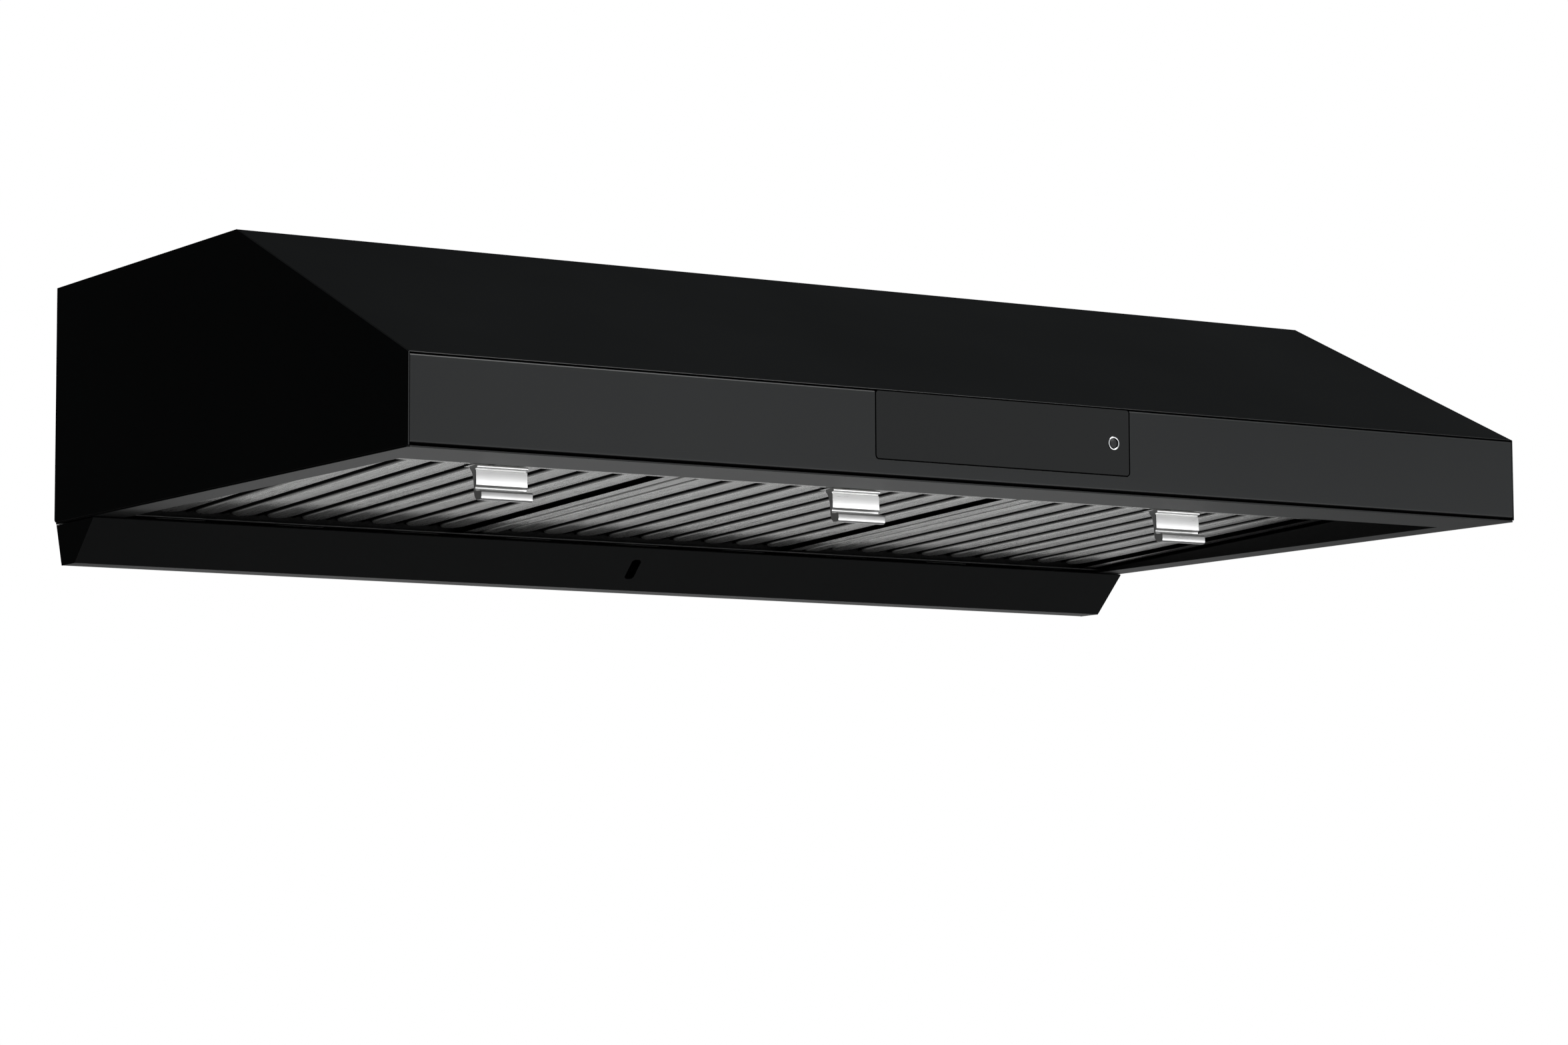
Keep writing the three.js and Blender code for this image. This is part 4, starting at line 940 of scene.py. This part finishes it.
def buttonCap(facts):
    low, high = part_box("power_button")
    spot = middle("power_button")
    radius = (high.x - low.x) / 2
    dome = facts["capDome"]
    edge = high.y - low.y - dome
    profile = [(0, 0), (radius, 0), (radius, edge - facts["capEase"])]
    for i in range(facts["steps"] + 1):
        angle = i / facts["steps"] * math.pi / 2
        profile.append((radius * facts["capTaper"] * math.cos(angle), edge + dome * math.sin(angle)))
    mesh = turnedMesh("power_button_cap", profile, (spot.x, high.y, spot.z), (0, -1, 0), facts["sides"])
    return finishPiece(newObject("power_button_cap", mesh), "power_button")


buttonRing(button)
buttonCap(button)
print("button made")


lamp = dict(
    sides=96,
    rimSteps=8,
    rimReach=1.6,  # width of its rounding, as a share of its height
    rimFoot=0.25,
    rimLand=0.6 * mm,
    rimEase=0.4 * mm,
    lensGap=0.4 * mm,
    lensSteps=12,
    lensPower=0.6,
)


def lampPieces(word, facts):
    ringLow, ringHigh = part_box(word + "_lamp_ring")
    lensLow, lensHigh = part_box(word + "_lamp_lens")
    spot = middle(word + "_lamp_ring")
    outer = (ringHigh.x - ringLow.x) / 2
    lensRadius = (lensHigh.x - lensLow.x) / 2
    inner = lensRadius + facts["lensGap"]
    lip = ringHigh.z - ringLow.z
    reach = lip * facts["rimReach"]
    foot = facts["rimFoot"]
    profile = [(inner, 0), (outer, 0)]
    for i in range(facts["rimSteps"] + 1):
        angle = math.pi / 2 * i / facts["rimSteps"]
        profile.append((outer - reach + reach * math.cos(angle), lip * (foot + (1 - foot) * math.sin(angle))))
    profile += [(inner + facts["rimLand"], lip), (inner, lip - facts["rimEase"])]
    name = word + "_lamp_ring_bezel"
    mesh = turnedMesh(name, profile, (spot.x, spot.y, ringHigh.z), (0, 0, -1), facts["sides"])
    finishPiece(newObject(name, mesh), word + "_lamp_ring")
    bulge = lensHigh.z - lensLow.z
    profile = [(0, 0)]
    for i in range(facts["lensSteps"] + 1):
        angle = i / facts["lensSteps"] * math.pi / 2
        profile.append((lensRadius * math.cos(angle), bulge * math.sin(angle) ** facts["lensPower"]))
    name = word + "_lamp_lens_dish"
    mesh = turnedMesh(name, profile, (spot.x, spot.y, lensHigh.z), (0, 0, -1), facts["sides"])
    finishPiece(newObject(name, mesh), word + "_lamp_lens")


for word in sideWords:
    lampPieces(word, lamp)
print("lamps made")


# blower: inlet rings, motors, and wheels with a cage of forward curved blades

wheel = dict(
    bladeCount=48,
    bladeSheet=0.6 * mm,
    bladeDepth=15 * mm,
    bladeHook=0.13,  # how far the outer edge runs ahead, in radians
    bladeCurve=1.8,
    bladeSteps=6,
    plate=1.4 * mm,
    rimGap=2 * mm,
    ringLip=5 * mm,
    dishRadius=48 * mm,
    dishDepth=48.4 * mm,
    dishBend=7 * mm,
    dishShift=0.4,  # how far each bend's centre moves outwards, as a share of the bend
    dishUnder=0.7,  # the same for the lower skin, as a share of the plate
    hubRadius=11 * mm,
    hubBore=4.3 * mm,
    hubRise=2 * mm,
    hubEase=1 * mm,
    hubLength=16 * mm,
    sides=96,
    arcSteps=6,
)


def ringGrower(name, material):
    grower = Grower(name, {"Count": "Int", "Step": "Float"})
    points = grower.add("GeometryNodePoints", {}, {"Count": grower.given("Count")})
    index = grower.add("GeometryNodeInputIndex")
    angle = grower.add("ShaderNodeMath", dict(operation="MULTIPLY"), {0: index, 1: grower.given("Step")})
    turn = grower.add("ShaderNodeCombineXYZ", {}, {"Z": angle})
    inputs = {"Points": points, "Instance": grower.given("Geometry"), "Rotation": turn}
    grower.close(grower.add("GeometryNodeInstanceOnPoints", {}, inputs), material)
    return grower


bladeGrower = ringGrower("blade ring", finishes["galvanised"])


def joinMeshes(name, meshes):
    shape = bmesh.new()
    for mesh in meshes:
        shape.from_mesh(mesh)
    return meshFrom(name, shape, 35)


def bladeMesh(name, radius, bottom, top, spin, facts):
    inner = radius - facts["bladeDepth"]
    outer = radius - facts["plate"] * 0.6
    line = []
    for i in range(facts["bladeSteps"] + 1):
        share = i / facts["bladeSteps"]
        turn = spin * facts["bladeHook"] * share ** facts["bladeCurve"]
        reach = inner + (outer - inner) * share
        line.append(Vector((reach * math.cos(turn), reach * math.sin(turn))))
    outline = stripOutline(line, facts["bladeSheet"])
    rings = [[Vector((point.x, point.y, z)) for point in outline] for z in (bottom, top)]
    return meshFrom(name, loft(rings), 35)


def blowerWheel(word, spin, facts):
    node = word + "_impeller"
    low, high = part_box(node)
    spot = middle(node)
    radius = (high.x - low.x) / 2
    plate = facts["plate"]
    top = high.z
    floor = top - facts["dishDepth"]
    rimIn = radius - facts["bladeDepth"] - facts["rimGap"]
    bend = facts["dishBend"]
    shift = bend * facts["dishShift"]
    slope = math.degrees(math.atan2(top - floor, rimIn - facts["dishRadius"]))
    upper = arc((rimIn + shift, top - bend), bend, 90, 90 + slope, facts["arcSteps"])
    lower = arc((facts["dishRadius"] - shift, floor + bend), bend, slope - 90, -90, facts["arcSteps"])
    hubRadius, hubBore, hubEase = facts["hubRadius"], facts["hubBore"], facts["hubEase"]
    skin = [(radius, top)] + upper + lower + [(hubRadius, floor)]
    under = [(r + plate * facts["dishUnder"], z - plate) for r, z in reversed(upper + lower)]
    hubTop = floor + facts["hubRise"]
    hubFoot = floor - facts["hubLength"]
    hub = [
        (hubRadius, hubTop), (hubBore, hubTop), (hubBore, hubFoot), (hubRadius - hubEase, hubFoot),
        (hubRadius, hubFoot + hubEase), (hubRadius, floor - plate),
    ]
    profile = skin + hub + under + [(radius, top - plate)]
    dish = turnedMesh(node + "_dish", profile, (spot.x, spot.y, 0), (0, 0, 1), facts["sides"])
    ringIn = radius - facts["bladeDepth"]
    profile = [
        (radius, low.z), (radius, low.z + facts["ringLip"]), (radius - plate, low.z + facts["ringLip"]),
        (radius - plate, low.z + plate), (ringIn, low.z + plate), (ringIn, low.z),
    ]
    ring = turnedMesh(node + "_ring", profile, (spot.x, spot.y, 0), (0, 0, 1), facts["sides"])
    blade = bladeMesh(node + "_blade", radius, low.z + plate * 0.5, top - plate * 0.5, spin, facts)
    cage = newObject(node + "_cage", blade)
    grow(cage, bladeGrower, {"Count": facts["bladeCount"], "Step": 2 * math.pi / facts["bladeCount"]})
    cage.data.transform(Matrix.Translation((spot.x, spot.y, 0)))
    cage.data = joinMeshes(node + "_cage", [cage.data, dish, ring])
    return finishPiece(cage, node)


inlet = dict(
    throat=4 * mm,
    flange=14 * mm,
    sheet=1.2 * mm,
    bellShare=0.55,  # part of its height that is curved
    thinShare=0.3,
    sides=96,
    arcSteps=8,
)


# a flat ring whose inner edge curves up into the wheel
def inletRing(word, facts):
    node = word + "_inlet_ring"
    low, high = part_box(node)
    spot = middle(node)
    outer = (high.x - low.x) / 2
    sheet = facts["sheet"]
    face = low.z + sheet
    curve = outer - facts["flange"]
    throat = curve - facts["throat"]
    bell = (high.z - face) * facts["bellShare"]
    thin = facts["thinShare"]
    shares = [i / facts["arcSteps"] for i in range(facts["arcSteps"] + 1)]
    sweep = [
        (throat + facts["throat"] * (1 - math.sin(t)), face + bell * (1 - math.cos(t)))
        for t in (math.pi / 2 * share for share in shares)
    ]
    back = [
        (r - sheet * (thin + (1 - thin) * share), z - sheet * (1 - share))
        for share, (r, z) in zip(shares, sweep)
    ]
    profile = [(outer, face)] + sweep + [(throat, high.z), (throat - sheet, high.z)] + back[::-1]
    profile.append((outer, low.z))
    mesh = turnedMesh(node + "_bell", profile, (spot.x, spot.y, 0), (0, 0, 1), facts["sides"])
    return finishPiece(newObject(node + "_bell", mesh), node)


motor = dict(
    shoulder=8 * mm,
    boss=14 * mm,
    bossHeight=2 * mm,
    collar=8 * mm,
    step=4 * mm,
    bore=4.4 * mm,
    boreDepth=18 * mm,
    sides=80,
    arcSteps=8,
)


def blowerMotor(word, facts):
    node = word + "_motor"
    low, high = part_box(node)
    spot = middle(node)
    radius = (high.x - low.x) / 2
    floor = low.z + facts["bossHeight"]
    waist = radius - facts["step"]
    shoulder = facts["shoulder"]
    boreEnd = floor + facts["boreDepth"]
    collar = high.z - facts["collar"]
    profile = [
        (0, high.z), (0, boreEnd), (facts["bore"], boreEnd), (facts["bore"], low.z),
        (facts["boss"] - facts["bossHeight"], low.z), (facts["boss"], floor),
    ]
    profile += arc((radius - shoulder, floor + shoulder), shoulder, -90, 0, facts["arcSteps"])
    profile += [(radius, collar), (waist, collar + facts["step"]), (waist, high.z)]
    mesh = turnedMesh(node + "_can", profile, (spot.x, spot.y, 0), (0, 0, 1), facts["sides"])
    return finishPiece(newObject(node + "_can", mesh), node)


for word, side in sideWords.items():
    blowerWheel(word, side, wheel)
    inletRing(word, inlet)
    blowerMotor(word, motor)
print("blowers made")


# screws: low heads with a cross recess, grown on points that carry the way they face

screw = dict(
    radius=3.4 * mm,
    height=1.9 * mm,
    outline=[(1, 0), (1, 0.35), (0.86, 0.82), (0.62, 1)],  # shares of the radius and the height
    recess=1.5 * mm,
    arm=1.7 * mm,
    armWidth=0.42 * mm,
    armTaper=0.8,
    smoothAngle=30,
    sides=24,
    seed=7,
)
screwPlaces = dict(
    inletInset=7 * mm,
    inletCount=4,
    cover=(-17, 17),
    lampPanel=(-400, -70, 70, 400),
    rail=(-380, -130, 130, 380),
    railDrop=6 * mm,
    railFace=1 * mm,
)


def screwHead(name, facts):
    shape = bmesh.new()
    radius, height = facts["radius"], facts["height"]
    angles = [2 * math.pi * i / facts["sides"] for i in range(facts["sides"])]
    rings = []
    for wide, tall in facts["outline"]:
        reach, z = radius * wide, height * tall
        rings.append([shape.verts.new((reach * math.cos(a), reach * math.sin(a), z)) for a in angles])
    for first, second in zip(rings, rings[1:]):
        for i in range(facts["sides"]):
            j = (i + 1) % facts["sides"]
            shape.faces.new((first[i], first[j], second[j], second[i]))
    shape.faces.new(list(reversed(rings[0])))
    arm, half = facts["arm"], facts["armWidth"]
    corner = [(arm, -half), (arm, half), (half, half)]
    cross = []
    for turn in range(4):
        for x, y in corner:
            for _ in range(turn):
                x, y = -y, x
            cross.append((x, y))
    lip = [shape.verts.new((x, y, height)) for x, y in cross]
    taper, depth = facts["armTaper"], height - facts["recess"]
    foot = [shape.verts.new((x * taper, y * taper, depth)) for x, y in cross]
    for i in range(len(cross)):
        j = (i + 1) % len(cross)
        shape.faces.new((lip[i], lip[j], foot[j], foot[i]))
    shape.faces.new(foot)
    loops = [edge for edge in shape.edges if len(edge.link_faces) == 1]
    bmesh.ops.triangle_fill(shape, use_beauty=True, edges=loops)
    bmesh.ops.recalc_face_normals(shape, faces=shape.faces)
    return newObject(name, meshFrom(name, shape, facts["smoothAngle"]))


def screwGrower(name, material):
    grower = Grower(name, {"Head": "Object", "Seed": "Int"})
    head = grower.add("GeometryNodeObjectInfo", {}, {"Object": grower.given("Head")}, "Geometry")
    facing = grower.add("GeometryNodeInputNamedAttribute", dict(data_type="FLOAT_VECTOR"), {"Name": "facing"})
    upright = grower.add("FunctionNodeAlignRotationToVector", dict(axis="Z"), {"Vector": facing})
    inputs = {"Min": 0.0, "Max": 3.0, "Seed": grower.given("Seed")}
    spin = grower.add("FunctionNodeRandomValue", dict(data_type="FLOAT"), inputs, 1)
    twist = grower.add("ShaderNodeCombineXYZ", {}, {"Z": spin})
    turn = grower.add("FunctionNodeRotateRotation", dict(rotation_space="LOCAL"), {0: upright, 1: twist})
    points = grower.add("GeometryNodeMeshToPoints", {}, {"Mesh": grower.given("Geometry")})
    inputs = {"Points": points, "Instance": head, "Rotation": turn}
    grower.close(grower.add("GeometryNodeInstanceOnPoints", {}, inputs), material)
    return grower


def screwSpots(facts):
    down, front = Vector((0, 0, -1)), Vector((0, -1, 0))
    spots = []
    for word in sideWords:
        low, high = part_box(word + "_inlet_ring")
        spot = middle(word + "_inlet_ring")
        reach = (high.x - low.x) / 2 - facts["inletInset"]
        for i in range(facts["inletCount"]):
            angle = math.pi / 4 + 2 * math.pi / facts["inletCount"] * i
            place = (spot.x + reach * math.cos(angle), spot.y + reach * math.sin(angle), low.z)
            spots.append((Vector(place), down))
    low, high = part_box("junction_cover")
    spot = middle("junction_cover")
    spots += [(Vector((spot.x, spot.y + y * mm, low.z)), down) for y in facts["cover"]]
    low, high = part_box("lamp_panel")
    spot = middle("lamp_panel")
    spots += [(Vector((x * mm, spot.y, low.z)), down) for x in facts["lampPanel"]]
    low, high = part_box("rear_filter_rail")
    face, level = high.y - facts["railFace"], high.z - facts["railDrop"]
    spots += [(Vector((x * mm, face, level)), front) for x in facts["rail"]]
    return spots


def placeScrews(spots, facts):
    mesh = bpy.data.meshes.new("screws")
    mesh.from_pydata([tuple(place) for place, way in spots], [], [])
    facing = mesh.attributes.new("facing", "FLOAT_VECTOR", "POINT")
    for item, (place, way) in zip(facing.data, spots):
        item.vector = way
    obj = newObject("screws", mesh)
    head = screwHead("screw_head", facts)
    grow(obj, screwGrower("screw row", finishes["zinc_steel"]), {"Head": head, "Seed": facts["seed"]})
    bpy.data.objects.remove(head)
    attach(obj, "hood_body")
    return obj


placeScrews(screwSpots(screwPlaces), screw)
print("screws made")


# lights, floor and background

stage = dict(
    floorDrop=0.95,
    floorRadius=7.0,
    floorTone=(0.34, 0.34, 0.335),
    floorGlow=0.62,
    bounceTone=(0.22, 0.22, 0.22),
    bounceGlow=0.17,
    bounceFrom=(0.5, 1.5),
    fade=(0.45, 0.98),  # shares of the radius
    roughness=0.85,
    sides=96,
)


def layFloor(facts):
    shape = bmesh.new()
    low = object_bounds()[0]
    radius = facts["floorRadius"]
    bmesh.ops.create_circle(shape, cap_ends=True, radius=radius, segments=facts["sides"])
    for vertex in shape.verts:
        vertex.co.z = low.z - facts["floorDrop"]
    floor = newObject("floor", meshFrom("floor", shape))
    material, shader = newMaterial("pale_floor")
    spot = shader.add("ShaderNodeTexCoord", {}, {}, "Object")
    parts = shader.add("ShaderNodeSeparateXYZ", {}, {"Vector": spot})
    far = (parts * parts + parts.other("Y") * parts.other("Y")) ** 0.5
    seen = shader.add("ShaderNodeLightPath", {}, {}, "Is Camera Ray")
    tone = shader.tint(seen, facts["bounceTone"], facts["floorTone"])
    behind = parts.other("Y").spread(*facts["bounceFrom"])
    mirrored = seen.other("Is Glossy Ray") * behind * facts["bounceGlow"]
    glow = shader.tint(seen * facts["floorGlow"] + mirrored, (0, 0, 0), (1, 1, 1))
    rough = facts["roughness"]
    body = shader.surface(colour=tone, roughness=rough, specular=0.3, glow=glow, glowStrength=1.0)
    clear = shader.add("ShaderNodeBsdfTransparent")
    under = shader.add("ShaderNodeNewGeometry", {}, {}, "Backfacing")
    fade = far.spread(*[radius * share for share in facts["fade"]])
    fade = fade + under - fade * under
    shader.finish(shader.add("ShaderNodeMixShader", {}, {0: fade, 1: body, 2: clear}))
    floor.data.materials.append(material)
    floor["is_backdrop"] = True


layFloor(stage)


# a lamp that lights everything, or only the pieces given
def softBox(name, place, aim, size, power, only=None):
    data = bpy.data.lights.new(name, "AREA")
    data.shape = "RECTANGLE"
    data.size, data.size_y = size
    data.energy = power
    obj = bpy.data.objects.new(name, data)
    obj.location = place
    obj.rotation_euler = (Vector(aim) - Vector(place)).to_track_quat("-Z", "Y").to_euler()
    obj.visible_camera = False
    scene.collection.objects.link(obj)
    if only:
        lit = bpy.data.collections.new(name + " pieces")
        for piece in only:
            lit.objects.link(piece)
        obj.light_linking.receiver_collection = lit


keyBox = dict(place=(0.9, -2.4, 2.2), aim=(0, 0, -0.1), size=(1.8, 1.2), power=70)
rearCard = dict(place=(1.2, 2.0, -1.14), aim=(0, 0, -0.17), size=(1.4, 0.45), power=2.2)
lowCard = dict(place=(1.1, -2.2, -0.70), aim=(0, 0, -0.17), size=(1.8, 0.8))
softBox("key box", **keyBox)
softBox("rear card", **rearCard)
softBox("front card", power=9, **lowCard)
softBox("pull card", power=38, only=pulls, **lowCard)

# each level is its base, what the front adds and what the third direction adds
room = dict(
    front=(-0.1, 0.9),
    low=(0.0, 0.22),
    glowSide=(0.1, 0.45),
    glowBack=(0.3, 0.7),
    glossy=(0.008, 0.52, 0.25),
    diffuse=(0.05, 0.15, 0.03),
    tone=(0.955, 0.99, 1.0),
)


# white to the camera; to everything else pale in front, and dark behind but for a low glow on the right
def lightRoom(facts):
    world = bpy.data.worlds.new("studio")
    world.use_nodes = True
    scene.world = world
    shader = Shader(world.node_tree)
    path = shader.add("ShaderNodeLightPath", {}, {}, "Is Camera Ray")
    ray = shader.add("ShaderNodeTexCoord", {}, {}, "Generated")
    parts = shader.add("ShaderNodeSeparateXYZ", {}, {"Vector": ray})
    front = (0 - parts.other("Y")).spread(*facts["front"])
    low = (0 - parts.other("Z")).spread(*facts["low"])
    glow = low * parts.spread(*facts["glowSide"]) * parts.other("Y").spread(*facts["glowBack"])
    base, frontShare, glowShare = facts["glossy"]
    glossy = base + front * frontShare + glow * glowShare
    base, frontShare, lowShare = facts["diffuse"]
    diffuse = base + front * frontShare + low * lowShare
    level = diffuse + (glossy - diffuse) * path.other("Is Glossy Ray")
    strength = level + (1 - level) * path
    tone = shader.tint(path, facts["tone"], (1, 1, 1))
    back = shader.add("ShaderNodeBackground", {}, {"Color": tone, "Strength": strength})
    output = shader.tree.nodes.new("ShaderNodeOutputWorld")
    shader.tree.links.new(back.socket, output.inputs["Surface"])


lightRoom(room)
print("stage lit")
